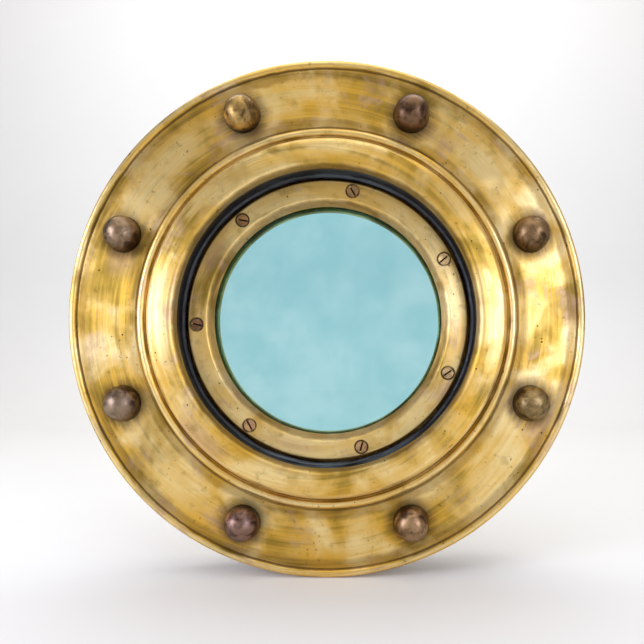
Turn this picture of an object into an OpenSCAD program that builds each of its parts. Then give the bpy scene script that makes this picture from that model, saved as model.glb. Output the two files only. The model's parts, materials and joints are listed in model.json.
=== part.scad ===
// Opening porthole: a round hinged port light, through-bolted to a hull.
// -Y is outboard, +Y is inboard and +Z is up.  The origin is the centre of the
// port on the hull's outer surface, where the back of the outer flange lies.
// The glass frame is shut and its two dogs are swung out onto their rests.

/* [Hull] */
// Thickness of the hull or bulkhead between the two flanges
hull_t = 25; // [23:1:27]

/* [Outer flange] */
// Outside radius of the outer flange
flange_r = 200; // [198:1:202]
// Thickness of the flat of the outer flange
flange_t = 9; // [8.5:0.5:9.5]
// Width of the raised bead around the rim
rim_bead_w = 6.5; // [6:0.5:8]
// Radius at which the raised collar's foot meets the flat
collar_foot_r = 148; // [147:0.5:149]
// Height of the collar's crown above the hull
collar_h = 20; // [19:0.5:21]
// Clear radius at the collar's inner lip
lip_r = 114.6; // [114:0.2:115]

/* [Flange bolts] */
// Number of domed bolts
bolt_count = 8; // [8]
// Radius of the circle on which the bolts stand
bolt_circle_r = 170; // [168:1:171]
// Radius of a domed head
dome_r = 14; // [13:0.5:14.5]
// Height of a domed head above the flange
dome_h = 17; // [15:0.5:18]
// Radius of the smooth shank inside the hull
shank_r = 6; // [5.9:0.05:6.1]

/* [Main frame] */
// Outside radius of the spigot that goes through the hull
spigot_r = 126; // [125.5:0.25:126]
// Inside radius of the spigot
throat_r = 119.5; // [119:0.25:119.5]
// Outside radius of the inner flange
inner_flange_r = 190; // [188:1:194]
// Thickness of the inner flange
inner_flange_t = 9; // [9:0.5:10]
// Outside radius of the seat that the glass frame closes on
seat_r = 134; // [133:0.5:134]
// Height of the seat above the inner flange
seat_h = 8; // [8:0.5:9]

/* [Glass frame] */
// Outside radius of the plug that fills the throat
plug_r = 110.5; // [110:0.25:110.5]
// Clear radius of the glass
sight_r = 90; // [88:1:91]
// Radius of the glass pane
pane_r = 97; // [96:0.5:97]
// Thickness of the glass pane
pane_t = 10; // [9:0.5:10]
// Thickness of the bezel ring
bezel_t = 5; // [4.5:0.5:5]
// Depth of the bezel's face inside the hull's outer surface
bezel_y = 1; // [0.5:0.5:1.5]

/* [Bezel screws] */
// Number of slotted screws in the bezel
screw_count = 7; // [5:1:7]
// Radius of the circle on which the screws stand
screw_circle_r = 103.8; // [103:0.2:104]
// Radius of a screw's head
screw_head_r = 4.7; // [4.3:0.1:4.8]

/* [Hinge] */
// Distance of the hinge's axis from the port's centre
hinge_x = 150; // [149:0.5:151]
// Radius of the hinge pin
hinge_pin_r = 5; // [4.5:0.5:5]
// Radius of the knuckle and of the lugs' round ends
knuckle_r = 9; // [8.5:0.5:9]
// Thickness of each hinge lug
lug_t = 10; // [8:1:12]

/* [Dogs] */
// Angle of each dog above or below the +X axis
dog_angle = 45; // [42:1:48]
// Distance of a dog's pivot from the port's centre
dog_pivot_r = 148; // [147:0.5:149]
// Radius of the dog's threaded shank
dog_shank_r = 5; // [4.5:0.5:5]
// Length of the dog from its pivot to its tip
dog_len = 46; // [45:1:50]
// Angle through which a released dog is swung out
dog_out = 65; // [60:1:65]
// Distance by which the released wing nut stands off the tight position
nut_slack = 4; // [3:0.5:4]

/* [Hidden] */

ring_fn = 120;
round_fn = 48;
small_fn = 24;
arc_n = 5;
bead_n = 4;
shoulder_n = 3;
dome_n = 12;

// Fits
running = 0.05;
drill = 0.8;
eps = 0.01;

// Planes, counted along +Y from the hull's outer surface
inner_y = hull_t;
face_y = inner_y + inner_flange_t;
seat_y = face_y + seat_h;
frame_y = seat_y + 1;
frame_flange_t = 9;
back_y = frame_y + frame_flange_t;
hinge_y = frame_y + 5;
pocket_y = bezel_y + bezel_t;
seal_t = 2.5;
rear_seal_t = 1.5;
pane_y = pocket_y + seal_t;
ledge_y = pane_y + pane_t + rear_seal_t;
ledge_t = 6;

// Outer flange
rebate_clear = 0.3;
rebate_h = 10;
seal_pocket_h = 13.2;
mouth_land = 2;
rim_bead_r = rim_bead_w / 2;
rim_bead_h = flange_t - 1.5;
dish = 0.6;
dish_w = 8;
foot_bead_r = 3.1;
foot_bead_c = [collar_foot_r - 5.1, flange_t + 2.6];
groove_h = flange_t + 3.6;
crown_in_r = collar_h - seal_pocket_h - mouth_land;
crown_out_r = 4.6;
crown_in_c = [lip_r + crown_in_r, collar_h - crown_in_r];
crown_out_c = [collar_foot_r - 14.4, collar_h - 6];

// Throat seal
seal_r = 115;
seal_lip_r = 112.6;
seal_lip_y = 2;
seal_lip_t = 4;
seal_end_y = 10;

// Main gasket and the ridge that presses on it
groove_in_r = 123;
groove_out_r = 131;
groove_d = 4;
gasket_t = 3.5;
ridge_w = 3;
ridge_gap = 0.3;

// Flange bolts
neck_r = 6.5;
thread_r = shank_r - 0.2;
washer_t = 2.5;
washer_r = 12;
nut_h = 10;
nut_af = 19;
bolt_tip_y = face_y + washer_t + nut_h + 3;
dome_rim = 4;

// Glass frame
tube_in_r = 98;
pocket_r = pane_r + 0.5;
bezel_land_r = 96.6;
seal_in_r = sight_r + 1;
screw_len = 15;
screw_shank_r = 2.5;
countersink = 0.25;
slot_w = 1.2;
slot_d = 1.3;
first_screw = 90 - 10.9;
slot_angles = [-60, 40, 35, 75, -60, -15, -12];

// Hinge
knuckle_half = 11.5;
lug_in = 12;
lug_foot = 14;
hinge_end = lug_in + lug_t;
hinge_tail = 7;
cotter_r = 1.4;
cotter_rise = 3;

// Dogs
pivot_y = face_y + 7.5;
dog_pin_r = 4;
dog_pin_tail = 6.5;
eye_r = 7;
eye_half = 6.5;
ear_in = 7;
ear_t = 7;
ear_r = 7.5;
ear_out = ear_in + ear_t;
fork_t = 9;
fork_y = back_y - 1;
fork_top = fork_y + fork_t;
fork_half = 15;
slot_half = dog_shank_r + 0.6;
fork_end = dog_pivot_r + 6;
fork_root = 106;
tight_gap = 0.3;
dog_washer_r = 11;
dog_washer_t = 2.5;
nut_hub_r = 9;
nut_hub_h = 13;
wing_t = 5.5;
washer_s = fork_top - pivot_y + tight_gap + nut_slack;
nut_s = washer_s + dog_washer_t;
keeper_s = dog_len - 2;
keeper_r = 1.25;
keeper_half = 6.5;
rest_near = 9;
rest_far = 17;
rest_half = 6;

function arc(c, r, from, to, n = arc_n) =
    [for (i = [0:n]) c + r * [cos(from + (to - from) * i / n), sin(from + (to - from) * i / n)]];

// A ring turned about the port's axis, from points [radius, height inboard].
module turned_in(points) {
    rotate([-90, 0, 0]) rotate_extrude($fn = ring_fn) polygon(points);
}

// The same, from points [radius, height outboard].
module turned_out(points) {
    rotate([90, 0, 0]) rotate_extrude($fn = ring_fn) polygon(points);
}

// A plain ring between two radii and two planes.
module flat_ring(r_in, r_out, y0, y1) {
    turned_in([[r_in, y0], [r_out, y0], [r_out, y1], [r_in, y1]]);
}

// Turns a child's +X axis to an angle above the port's +X axis.
module around(a) {
    rotate([0, -a, 0]) children();
}

// One child at each place on the bolt circle.
module at_bolts() {
    for (i = [0 : bolt_count - 1])
        around((i + 0.5) * 360 / bolt_count) translate([bolt_circle_r, 0, 0]) children();
}

// A cylinder along +Y.
module rod_y(r, y0, y1) {
    translate([0, y0, 0]) rotate([-90, 0, 0]) cylinder(r = r, h = y1 - y0, $fn = round_fn);
}

// A cylinder along +Z, between two heights.
module rod_z(r, z0, z1) {
    translate([0, 0, z0]) cylinder(r = r, h = z1 - z0, $fn = round_fn);
}

module outer_flange() {
    rim = arc([flange_r - rim_bead_r, rim_bead_h], rim_bead_r, 0, 150, bead_n);
    foot_bead = arc(foot_bead_c, foot_bead_r, -20, 160, bead_n);
    crown = concat(arc(crown_out_c, crown_out_r, 5, 85, shoulder_n), arc(crown_in_c, crown_in_r, 90, 180));
    profile = concat(
        [[spigot_r + rebate_clear, 0], [flange_r - 1, 0], [flange_r, 1]],
        rim,
        [[flange_r - rim_bead_w - dish_w, flange_t],
         [collar_foot_r + dish_w, flange_t],
         [collar_foot_r - 0.5, flange_t + dish]],
        foot_bead,
        [[crown_out_c[0] + crown_out_r + 0.2, groove_h]],
        crown,
        [[lip_r, seal_pocket_h - eps], [throat_r, seal_pocket_h - eps],
         [throat_r, rebate_h], [spigot_r + rebate_clear, rebate_h]]);
    color("goldenrod") difference() {
        turned_out(profile);
        at_bolts() rod_y(shank_r + drill, -flange_t - 1, 1);
    }
}

// One hinge lug, or one ear of a dog: a foot on the inner flange and a round end.
module lug(r, foot, height, t) {
    linear_extrude(t) {
        circle(r, $fn = round_fn);
        polygon([[-foot, -height], [foot, -height], [r, 0], [-r, 0]]);
    }
}

module hinge_lugs() {
    for (z = [-hinge_end, lug_in])
        translate([-hinge_x, hinge_y, z]) lug(knuckle_r, lug_foot, hinge_y - face_y + 1, lug_t);
}

// The two ears that carry a dog, and the sloping rest that it falls back on.
module dog_seat() {
    under = (dog_shank_r + tight_gap) / sin(dog_out);
    slope = 1 / tan(dog_out);
    base = face_y - pivot_y - 1;
    translate([dog_pivot_r, pivot_y, 0]) {
        for (z = [-ear_out, ear_in])
            translate([0, 0, z]) lug(ear_r, ear_r + 2, pivot_y - face_y + 1, ear_t);
        translate([0, 0, -rest_half]) linear_extrude(2 * rest_half)
            polygon([[rest_near, base], [rest_far, base],
                     [rest_far, rest_far * slope - under], [rest_near, rest_near * slope - under]]);
    }
}

module main_frame() {
    edge = 1.5;
    profile = [
        [throat_r, -flange_t], [spigot_r - 1, -flange_t], [spigot_r, -flange_t + 1],
        [spigot_r, inner_y], [inner_flange_r - edge, inner_y], [inner_flange_r, inner_y + edge],
        [inner_flange_r, face_y - 2 * edge], [inner_flange_r - 2 * edge, face_y],
        [seat_r + 3, face_y], [seat_r, face_y + 3],
        [seat_r, seat_y - 1], [seat_r - 1, seat_y],
        [groove_out_r, seat_y], [groove_out_r, seat_y - groove_d],
        [groove_in_r, seat_y - groove_d], [groove_in_r, seat_y], [throat_r, seat_y]];
    color("darkgoldenrod") difference() {
        union() {
            turned_in(profile);
            hinge_lugs();
            for (a = [-dog_angle, dog_angle]) around(a) dog_seat();
        }
        at_bolts() rod_y(shank_r + drill, inner_y - 1, face_y + 1);
        translate([-hinge_x, hinge_y, 0])
            rod_z(hinge_pin_r + running, -hinge_end - 1, hinge_end + 1);
        for (a = [-dog_angle, dog_angle])
            around(a) translate([dog_pivot_r, pivot_y, 0])
                rod_z(dog_pin_r + running, -ear_out - 1, ear_out + 1);
    }
}

// The rubber lining of the throat, with a lip that keeps spray off the plug.
module throat_seal() {
    lip_end = seal_lip_y + seal_lip_t;
    color("#141414") turned_in([
        [throat_r, -seal_pocket_h + eps], [throat_r, seal_end_y], [seal_r + 1.5, seal_end_y],
        [seal_r + 0.5, lip_end + 1], [seal_lip_r + 0.6, lip_end], [seal_lip_r, lip_end - 1],
        [seal_lip_r, seal_lip_y + 1], [seal_lip_r + 0.8, seal_lip_y],
        [seal_r, seal_lip_y - 1.5], [seal_r, -seal_pocket_h + 0.6], [seal_r + 0.6, -seal_pocket_h + eps]]);
}

module main_gasket() {
    bottom = seat_y - groove_d;
    color("#1c1c1c") flat_ring(groove_in_r, groove_out_r, bottom, bottom + gasket_t);
}

// A domed bolt with a plain neck, a smooth shank and a threaded end.
module flange_bolts() {
    base = flange_t;
    rim_top = base + dome_rim;
    cap = dome_h - dome_rim;
    step = 90 / dome_n;
    dome = [for (i = [0:dome_n]) [dome_r * cos(i * step), rim_top + cap * sin(i * step)]];
    color("sienna") at_bolts() {
        rotate([90, 0, 0]) rotate_extrude($fn = round_fn)
            polygon(concat([[0, base], [dome_r - 0.8, base], [dome_r, base + 0.8]], dome));
        rod_y(neck_r, -base - 0.5, 0);
        rod_y(shank_r, -0.5, inner_y);
        rotate([-90, 0, 0]) rotate_extrude($fn = round_fn)
            polygon([[0, inner_y - 0.5], [thread_r, inner_y - 0.5], [thread_r, bolt_tip_y - 1.2],
                     [thread_r - 1.2, bolt_tip_y], [0, bolt_tip_y]]);
    }
}

module flange_washers() {
    color("peru") at_bolts() difference() {
        rod_y(washer_r, face_y, face_y + washer_t);
        rod_y(neck_r, face_y - 1, face_y + washer_t + 1);
    }
}

// A hexagon nut with both faces chamfered, standing on +Y.
module hex_nut(af, h, bore_r) {
    corner = af / sqrt(3);
    rotate([-90, 0, 0]) difference() {
        intersection() {
            cylinder(r = corner, h = h, $fn = 6);
            rotate_extrude($fn = round_fn)
                polygon([[0, 0], [af / 2 - 0.2, 0], [corner + 0.2, 0.9], [corner + 0.2, h - 0.9],
                         [af / 2 - 0.2, h], [0, h]]);
        }
        translate([0, 0, -1]) cylinder(r = bore_r, h = h + 2, $fn = round_fn);
    }
}

module flange_nuts() {
    color("darkgoldenrod") at_bolts()
        translate([0, face_y + washer_t, 0]) hex_nut(nut_af, nut_h, thread_r);
}

// A headed pin along +Z with a cross hole near its lower end for a split pin.
module headed_pin(r, head_r, head_h, top, bottom, turn = 0) {
    hole_z = bottom + cotter_rise;
    difference() {
        union() {
            rod_z(r, bottom + 1, top);
            translate([0, 0, bottom]) cylinder(r1 = r - 1, r2 = r, h = 1 + eps, $fn = round_fn);
            rotate_extrude($fn = round_fn)
                polygon([[0, top], [head_r, top], [head_r, top + head_h - 1],
                         [head_r - 1, top + head_h], [0, top + head_h]]);
        }
        rotate([0, 0, turn]) translate([0, -r - 1, hole_z]) rotate([-90, 0, 0])
            cylinder(r = cotter_r + 0.1, h = 2 * r + 2, $fn = round_fn);
    }
}

// A washer about +Z, hanging below a height.
module pin_washer(r, bore_r, top, t) {
    difference() {
        rod_z(r, top - t, top);
        rod_z(bore_r, top - t - 1, top + 1);
    }
}

// A split pin along +Y: a round eye, a straight stem and two spread legs.
module split_pin(half) {
    eye = 2.6;
    leg = 6;
    translate([0, -half, 0]) rotate([-90, 0, 0]) cylinder(r = cotter_r, h = 2 * half, $fn = small_fn);
    translate([0, -half - eye, 0]) rotate_extrude($fn = 32)
        translate([eye, 0]) circle(r = cotter_r * 0.62, $fn = 16);
    for (side = [-1, 1])
        translate([side * cotter_r * 0.4, half - 0.6, 0]) rotate([0, 0, -side * 42]) rotate([-90, 0, 0])
            cylinder(r = cotter_r * 0.58, h = leg, $fn = small_fn);
}

module at_hinge() {
    translate([-hinge_x, hinge_y, 0]) children();
}

module hinge_pin() {
    color("peru") at_hinge() headed_pin(hinge_pin_r, 7.5, 3.5, hinge_end, -hinge_end - hinge_tail);
}

module hinge_washer() {
    color("goldenrod") at_hinge() pin_washer(8.5, hinge_pin_r + 0.2, -hinge_end, 1.5);
}

module hinge_split_pin() {
    color("goldenrod") at_hinge() translate([0, 0, -hinge_end - hinge_tail + cotter_rise])
        split_pin(hinge_pin_r + 1);
}

// One child at each dog's pivot, with +X outward, +Y inboard and +Z along the pin.
module at_dog_pivots() {
    for (a = [-dog_angle, dog_angle]) around(a) translate([dog_pivot_r, pivot_y, 0]) children();
}

module dog_pins() {
    color("peru") at_dog_pivots() headed_pin(dog_pin_r, 6, 2.5, ear_out, -ear_out - dog_pin_tail, -90);
}

module dog_pin_washers() {
    color("goldenrod") at_dog_pivots() pin_washer(6.5, dog_pin_r + 0.2, -ear_out, 1.2);
}

module dog_split_pins() {
    color("goldenrod") at_dog_pivots() translate([0, 0, -ear_out - dog_pin_tail + cotter_rise])
        rotate([0, 0, -90]) split_pin(dog_pin_r + 1);
}

// A two-pronged fork, open outward, that takes a dog's shank.
module fork() {
    prong_r = (fork_half - slot_half) / 2;
    prong_z = slot_half + prong_r;
    translate([0, fork_y, 0]) rotate([-90, 0, 0]) linear_extrude(fork_t) difference() {
        union() {
            translate([fork_root, -fork_half]) square([fork_end - fork_root, 2 * fork_half]);
            for (z = [-prong_z, prong_z]) translate([fork_end, z]) circle(prong_r, $fn = round_fn);
        }
        translate([dog_pivot_r, 0]) circle(slot_half, $fn = round_fn);
        translate([dog_pivot_r, -slot_half]) square([fork_end - dog_pivot_r + prong_r + 1, 2 * slot_half]);
    }
}

module at_screws() {
    for (i = [0 : screw_count - 1])
        around(first_screw - i * 360 / screw_count) translate([screw_circle_r, 0, 0]) children();
}

module glass_frame() {
    ridge_in = (groove_in_r + groove_out_r - ridge_w) / 2;
    ridge_tip = seat_y - groove_d + gasket_t + ridge_gap;
    profile = [
        [pocket_r, pocket_y], [plug_r - 0.6, pocket_y], [plug_r, pocket_y + 0.6],
        [plug_r, frame_y - 2], [plug_r + 2, frame_y],
        [ridge_in, frame_y], [ridge_in + 0.6, ridge_tip],
        [ridge_in + ridge_w - 0.6, ridge_tip], [ridge_in + ridge_w, frame_y],
        [seat_r - 1, frame_y], [seat_r, frame_y + 1],
        [seat_r, back_y - 2.5], [seat_r - 2.5, back_y],
        [tube_in_r + 2, back_y], [tube_in_r, back_y - 2],
        [tube_in_r, ledge_y + ledge_t], [sight_r + 1, ledge_y + ledge_t],
        [sight_r, ledge_y + ledge_t - 1], [sight_r, ledge_y], [pocket_r, ledge_y]];
    color("goldenrod") difference() {
        union() {
            turned_in(profile);
            for (a = [-dog_angle, dog_angle]) around(a) fork();
            at_hinge() rod_z(knuckle_r, -knuckle_half, knuckle_half);
            translate([-hinge_x, frame_y, -knuckle_half])
                cube([hinge_x - seat_r + 12, frame_flange_t, 2 * knuckle_half]);
        }
        at_hinge() rod_z(hinge_pin_r + running, -knuckle_half - 1, knuckle_half + 1);
        at_screws() rod_y(screw_shank_r + running, pocket_y - 1, bezel_y + screw_len + 1);
    }
}

// The ring that holds the glass, with a flat land and a bevelled inner edge.
module bezel_ring() {
    edge = 0.8;
    head_r = screw_head_r + countersink;
    hole_r = screw_shank_r + countersink;
    color("goldenrod") difference() {
        turned_in([
            [sight_r + 0.5, pocket_y], [plug_r, pocket_y], [plug_r, bezel_y + edge],
            [plug_r - edge, bezel_y], [bezel_land_r, bezel_y],
            [bezel_land_r - 1, bezel_y + 0.5], [sight_r + 0.5, pocket_y - 0.8]]);
        at_screws() {
            rod_y(hole_r, bezel_y, pocket_y + 1);
            translate([0, bezel_y - eps, 0]) rotate([-90, 0, 0])
                cylinder(r1 = head_r, r2 = hole_r, h = head_r - hole_r, $fn = round_fn);
        }
    }
}

// Flush countersunk screws, each with its slot at its own angle.
module bezel_screws() {
    head_y = bezel_y + 0.15;
    cone = screw_head_r - screw_shank_r;
    color("tan") for (i = [0 : screw_count - 1]) {
        a = first_screw - i * 360 / screw_count;
        translate([screw_circle_r * cos(a), head_y, screw_circle_r * sin(a)]) difference() {
            rotate([-90, 0, 0]) union() {
                cylinder(r1 = screw_head_r, r2 = screw_shank_r, h = cone, $fn = round_fn);
                translate([0, 0, cone - eps]) cylinder(r = screw_shank_r, h = screw_len - cone, $fn = round_fn);
            }
            rotate([0, -slot_angles[i], 0])
                translate([-screw_head_r - 1, -1, -slot_w / 2])
                    cube([2 * screw_head_r + 2, slot_d + 1, slot_w]);
        }
    }
}

module glass_pane() {
    edge = 0.7;
    color([0.6, 0.8, 0.82, 0.35]) turned_in([
        [0, pane_y], [pane_r - edge, pane_y], [pane_r, pane_y + edge],
        [pane_r, pane_y + pane_t - edge], [pane_r - edge, pane_y + pane_t], [0, pane_y + pane_t]]);
}

module front_glazing_seal() {
    color("#202020") flat_ring(seal_in_r, pane_r, pocket_y, pane_y);
}

module rear_glazing_seal() {
    color("#202020") flat_ring(seal_in_r, pane_r, pane_y + pane_t, ledge_y);
}

// Puts a dog's piece, drawn about its pivot with its shank along +Y, where it rests.
module on_dog(a) {
    around(a) translate([dog_pivot_r, pivot_y, 0]) rotate([0, 0, -dog_out]) children();
}

module dog_bolt() {
    neck = 9;
    color("darkgoldenrod") difference() {
        union() {
            rod_z(eye_r, -eye_half, eye_half);
            rod_y(dog_shank_r, 0, dog_len - 1);
            rotate([-90, 0, 0]) translate([0, 0, dog_len - 1 - eps])
                cylinder(r1 = dog_shank_r, r2 = dog_shank_r - 1, h = 1, $fn = round_fn);
            rotate([-90, 0, 0]) cylinder(r1 = dog_shank_r + 1.3, r2 = dog_shank_r, h = neck, $fn = round_fn);
        }
        rod_z(dog_pin_r + running, -eye_half - 1, eye_half + 1);
        translate([0, keeper_s, -dog_shank_r - 1])
            cylinder(r = keeper_r + running, h = 2 * dog_shank_r + 2, $fn = small_fn);
    }
}

module dog_washer() {
    color("peru") difference() {
        rod_y(dog_washer_r, washer_s, washer_s + dog_washer_t);
        rod_y(dog_shank_r + running, washer_s - 1, washer_s + dog_washer_t + 1);
    }
}

// A wing nut standing on +Y: a tapered hub and two wings that sweep up and out.
module wing_nut() {
    color("goldenrod") translate([0, nut_s, 0]) difference() {
        union() {
            rotate([-90, 0, 0]) rotate_extrude($fn = round_fn)
                polygon([[0, 0], [nut_hub_r, 0], [nut_hub_r, 3], [nut_hub_r - 1.5, nut_hub_h - 1],
                         [nut_hub_r - 2.5, nut_hub_h], [0, nut_hub_h]]);
            for (side = [-1, 1]) translate([0, 0, -wing_t / 2]) linear_extrude(wing_t) hull() {
                translate([side * 5.5, 5]) circle(3, $fn = small_fn);
                translate([side * 17.5, 14]) circle(2.5, $fn = small_fn);
                translate([side * 18.5, 20.5]) circle(3.5, $fn = 32);
            }
        }
        rod_y(dog_shank_r + running, -1, nut_hub_h + 12);
    }
}

// The pin across a dog's tip that stops the wing nut from coming off.
module keeper_pin() {
    color("peru") translate([0, keeper_s, -keeper_half])
        cylinder(r = keeper_r, h = 2 * keeper_half, $fn = small_fn);
}

module upper_dog_bolt() { on_dog(dog_angle) dog_bolt(); }
module upper_dog_washer() { on_dog(dog_angle) dog_washer(); }
module upper_wing_nut() { on_dog(dog_angle) wing_nut(); }
module upper_keeper_pin() { on_dog(dog_angle) keeper_pin(); }
module lower_dog_bolt() { on_dog(-dog_angle) dog_bolt(); }
module lower_dog_washer() { on_dog(-dog_angle) dog_washer(); }
module lower_wing_nut() { on_dog(-dog_angle) wing_nut(); }
module lower_keeper_pin() { on_dog(-dog_angle) keeper_pin(); }

outer_flange();
main_frame();
throat_seal();
main_gasket();
flange_bolts();
flange_washers();
flange_nuts();
hinge_pin();
hinge_washer();
hinge_split_pin();
dog_pins();
dog_pin_washers();
dog_split_pins();
glass_frame();
bezel_ring();
bezel_screws();
glass_pane();
front_glazing_seal();
rear_glazing_seal();
upper_dog_bolt();
upper_dog_washer();
upper_wing_nut();
upper_keeper_pin();
lower_dog_bolt();
lower_dog_washer();
lower_wing_nut();
lower_keeper_pin();
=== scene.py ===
import json
import math
import random

import bmesh
import bpy
import numpy as np
from mathutils import Matrix, Vector, noise


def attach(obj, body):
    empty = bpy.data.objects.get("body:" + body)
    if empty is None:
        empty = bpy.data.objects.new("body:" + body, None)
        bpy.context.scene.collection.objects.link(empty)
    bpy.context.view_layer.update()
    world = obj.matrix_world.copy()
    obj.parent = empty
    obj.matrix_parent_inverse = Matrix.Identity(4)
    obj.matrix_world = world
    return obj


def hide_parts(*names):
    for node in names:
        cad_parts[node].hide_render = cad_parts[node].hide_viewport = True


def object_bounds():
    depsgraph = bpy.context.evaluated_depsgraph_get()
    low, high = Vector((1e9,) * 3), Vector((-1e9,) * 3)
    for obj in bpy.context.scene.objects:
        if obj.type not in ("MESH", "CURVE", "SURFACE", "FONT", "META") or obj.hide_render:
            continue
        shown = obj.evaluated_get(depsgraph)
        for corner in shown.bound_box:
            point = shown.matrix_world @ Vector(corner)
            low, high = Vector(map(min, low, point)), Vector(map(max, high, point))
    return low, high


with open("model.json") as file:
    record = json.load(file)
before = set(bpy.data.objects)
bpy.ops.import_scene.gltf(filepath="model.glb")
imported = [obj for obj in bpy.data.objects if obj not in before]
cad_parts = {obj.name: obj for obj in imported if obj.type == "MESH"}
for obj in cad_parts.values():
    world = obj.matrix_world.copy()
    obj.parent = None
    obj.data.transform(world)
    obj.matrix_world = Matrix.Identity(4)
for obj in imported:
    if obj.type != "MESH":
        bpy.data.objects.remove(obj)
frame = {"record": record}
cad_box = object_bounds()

# The port's frame: -Y is outboard, +Y is inboard, +Z is up.  Shapes are drawn in
# millimetres and scaled to metres when a mesh is made.
MM = 0.001
BODIES = {node: body for body, nodes in frame["record"]["behaviour"]["bodies"].items() for node in nodes}

# Driving sizes, as the CAD model has them.
BOLT_CIRCLE = 170.0
BOLT_COUNT = 8
BOLT_HOLE_R = 6.8
FLANGE_T = 9.0
DOME_R = 14.0
DOME_H = 17.0
DOME_BALL = 13.0         # height of the dome's round part, above its straight foot
FACE_Y = 34.0            # inboard face of the inner flange
WASHER_T = 2.5
NUT_H = 10.0
NUT_AF = 19.0
THREAD_R = 5.8
THREAD_FOOT_Y = 26.0
BOLT_TIP_Y = 49.5
SCREW_CIRCLE = 103.8
SCREW_COUNT = 7
FIRST_SCREW = 79.1       # degrees above +X
SLOT_ANGLES = (-60, 40, 35, 75, -60, -15, -12)
GLASS_FRONT_Y, GLASS_BACK_Y = 8.5, 18.5
HINGE = Vector((-150.0, 48.0, 0.0))
HINGE_PIN_R = 5.0
RUNNING_GAP = 0.05       # radial clearance of pins and threads in their bores
LUG_MIDDLE, LUG_HALF = 17.0, 5.0
LUG_R, LUG_FOOT, LUG_DROP = 9.0, 14.0, 15.0      # round end, half foot and height of a hinge lug
DOG_ANGLES = {"upper": 45.0, "lower": -45.0}
DOG_PIVOT = Vector((148.0, 41.5, 0.0))
DOG_OUT = 65.0
DOG_PIN_R = 4.0
SHANK_R = 5.0
DOG_LEN = 46.0
EAR_MIDDLE, EAR_HALF = 10.5, 3.5
EAR_R, EAR_FOOT, EAR_DROP = 7.5, 9.5, 8.5        # the same of a dog's ear
REST_U, REST_HALF_U, REST_HALF_W = 13.0, 4.0, 6.0
FORK_IN, FORK_OUT, FORK_HALF_W = 106.0, 154.0, 15.0
FORK_Y, FORK_HALF_T = 55.5, 4.5
FORK_SLOT_IN, FORK_SLOT_HALF = 148.0, 5.6
PRONG_MIDDLE, PRONG_END_R = 10.3, 4.7
DOG_WASHER_Y, DOG_NUT_Y, KEEPER_Y = 22.8, 25.3, 44.0


# ---------------------------------------------------------------- outlines

def arc(cx, cy, r, a0, a1, n):
    """Points on an arc, angles in degrees, ends included."""
    steps = [math.radians(a0 + (a1 - a0) * i / n) for i in range(n + 1)]
    return [(cx + r * math.cos(a), cy + r * math.sin(a)) for a in steps]


def rounded(points, per_arc=6):
    """A closed outline whose corners are filleted: each point is (x, y) or (x, y, fillet radius)."""
    out = []
    count = len(points)
    for i, point in enumerate(points):
        radius = point[2] if len(point) > 2 else 0.0
        here = Vector(point[:2])
        before = Vector(points[i - 1][:2]) - here
        after = Vector(points[(i + 1) % count][:2]) - here
        turn = before.angle(after)
        if radius == 0 or math.pi - turn < 0.02:
            out.append(tuple(here))
            continue
        reach = radius / math.tan(turn / 2)
        u = before.normalized() * reach
        v = after.normalized() * reach
        middle = (u + v).normalized() * (radius / math.sin(turn / 2))
        u, v = u - middle, v - middle
        sign = 1 if u.x * v.y - u.y * v.x > 0 else -1
        for k in range(per_arc + 1):
            a = sign * u.angle(v) * k / per_arc
            out.append((here.x + middle.x + u.x * math.cos(a) - u.y * math.sin(a),
                        here.y + middle.y + u.x * math.sin(a) + u.y * math.cos(a)))
    return out


def resample(outline, step, closed=True):
    """Splits the long stretches of an outline so that no edge is longer than step."""
    out = []
    ends = outline[1:] + outline[:1] if closed else outline[1:]
    for p, q in zip(outline, ends):
        parts = max(1, math.ceil(math.dist(p, q) / step))
        out += [(p[0] + (q[0] - p[0]) * k / parts, p[1] + (q[1] - p[1]) * k / parts) for k in range(parts)]
    return out if closed else out + outline[-1:]


# ---------------------------------------------------------------- mesh tools

def around(angle):
    """The rotation that takes +X to an angle, in degrees, above +X."""
    return Matrix.Rotation(math.radians(-angle), 4, "Y")


def shift(x, y, z):
    return Matrix.Translation((x, y, z))


def make_object(name, bm, smooth_angle=38.0):
    """Turns a bmesh in millimetres into an object in metres with smooth shading."""
    bmesh.ops.recalc_face_normals(bm, faces=bm.faces)
    bmesh.ops.scale(bm, vec=(MM, MM, MM), verts=bm.verts)
    mesh = bpy.data.meshes.new(name)
    bm.to_mesh(mesh)
    bm.free()
    mesh.shade_smooth()
    mesh.set_sharp_from_angle(angle=math.radians(smooth_angle))
    obj = bpy.data.objects.new(name, mesh)
    bpy.context.scene.collection.objects.link(obj)
    return obj


def lathe_ring(bm, outline, segments, place=Matrix.Identity(4)):
    """Turns a closed outline of (radius, y) about the Y axis into a ring of quads."""
    rows = []
    for i in range(segments):
        a = 2 * math.pi * i / segments
        c, s = math.cos(a), math.sin(a)
        rows.append([bm.verts.new(place @ Vector((r * c, y, r * s))) for r, y in outline])
    for this, following in zip(rows, rows[1:] + rows[:1]):
        for j in range(len(outline)):
            k = (j + 1) % len(outline)
            bm.faces.new((this[j], this[k], following[k], following[j]))
    return [v for row in rows for v in row]


def thread_wave(turns):
    """A triangle wave from 0 at a thread's crest to 1 at its root."""
    part = turns % 1.0
    return 1.0 - abs(2.0 * part - 1.0)


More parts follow.
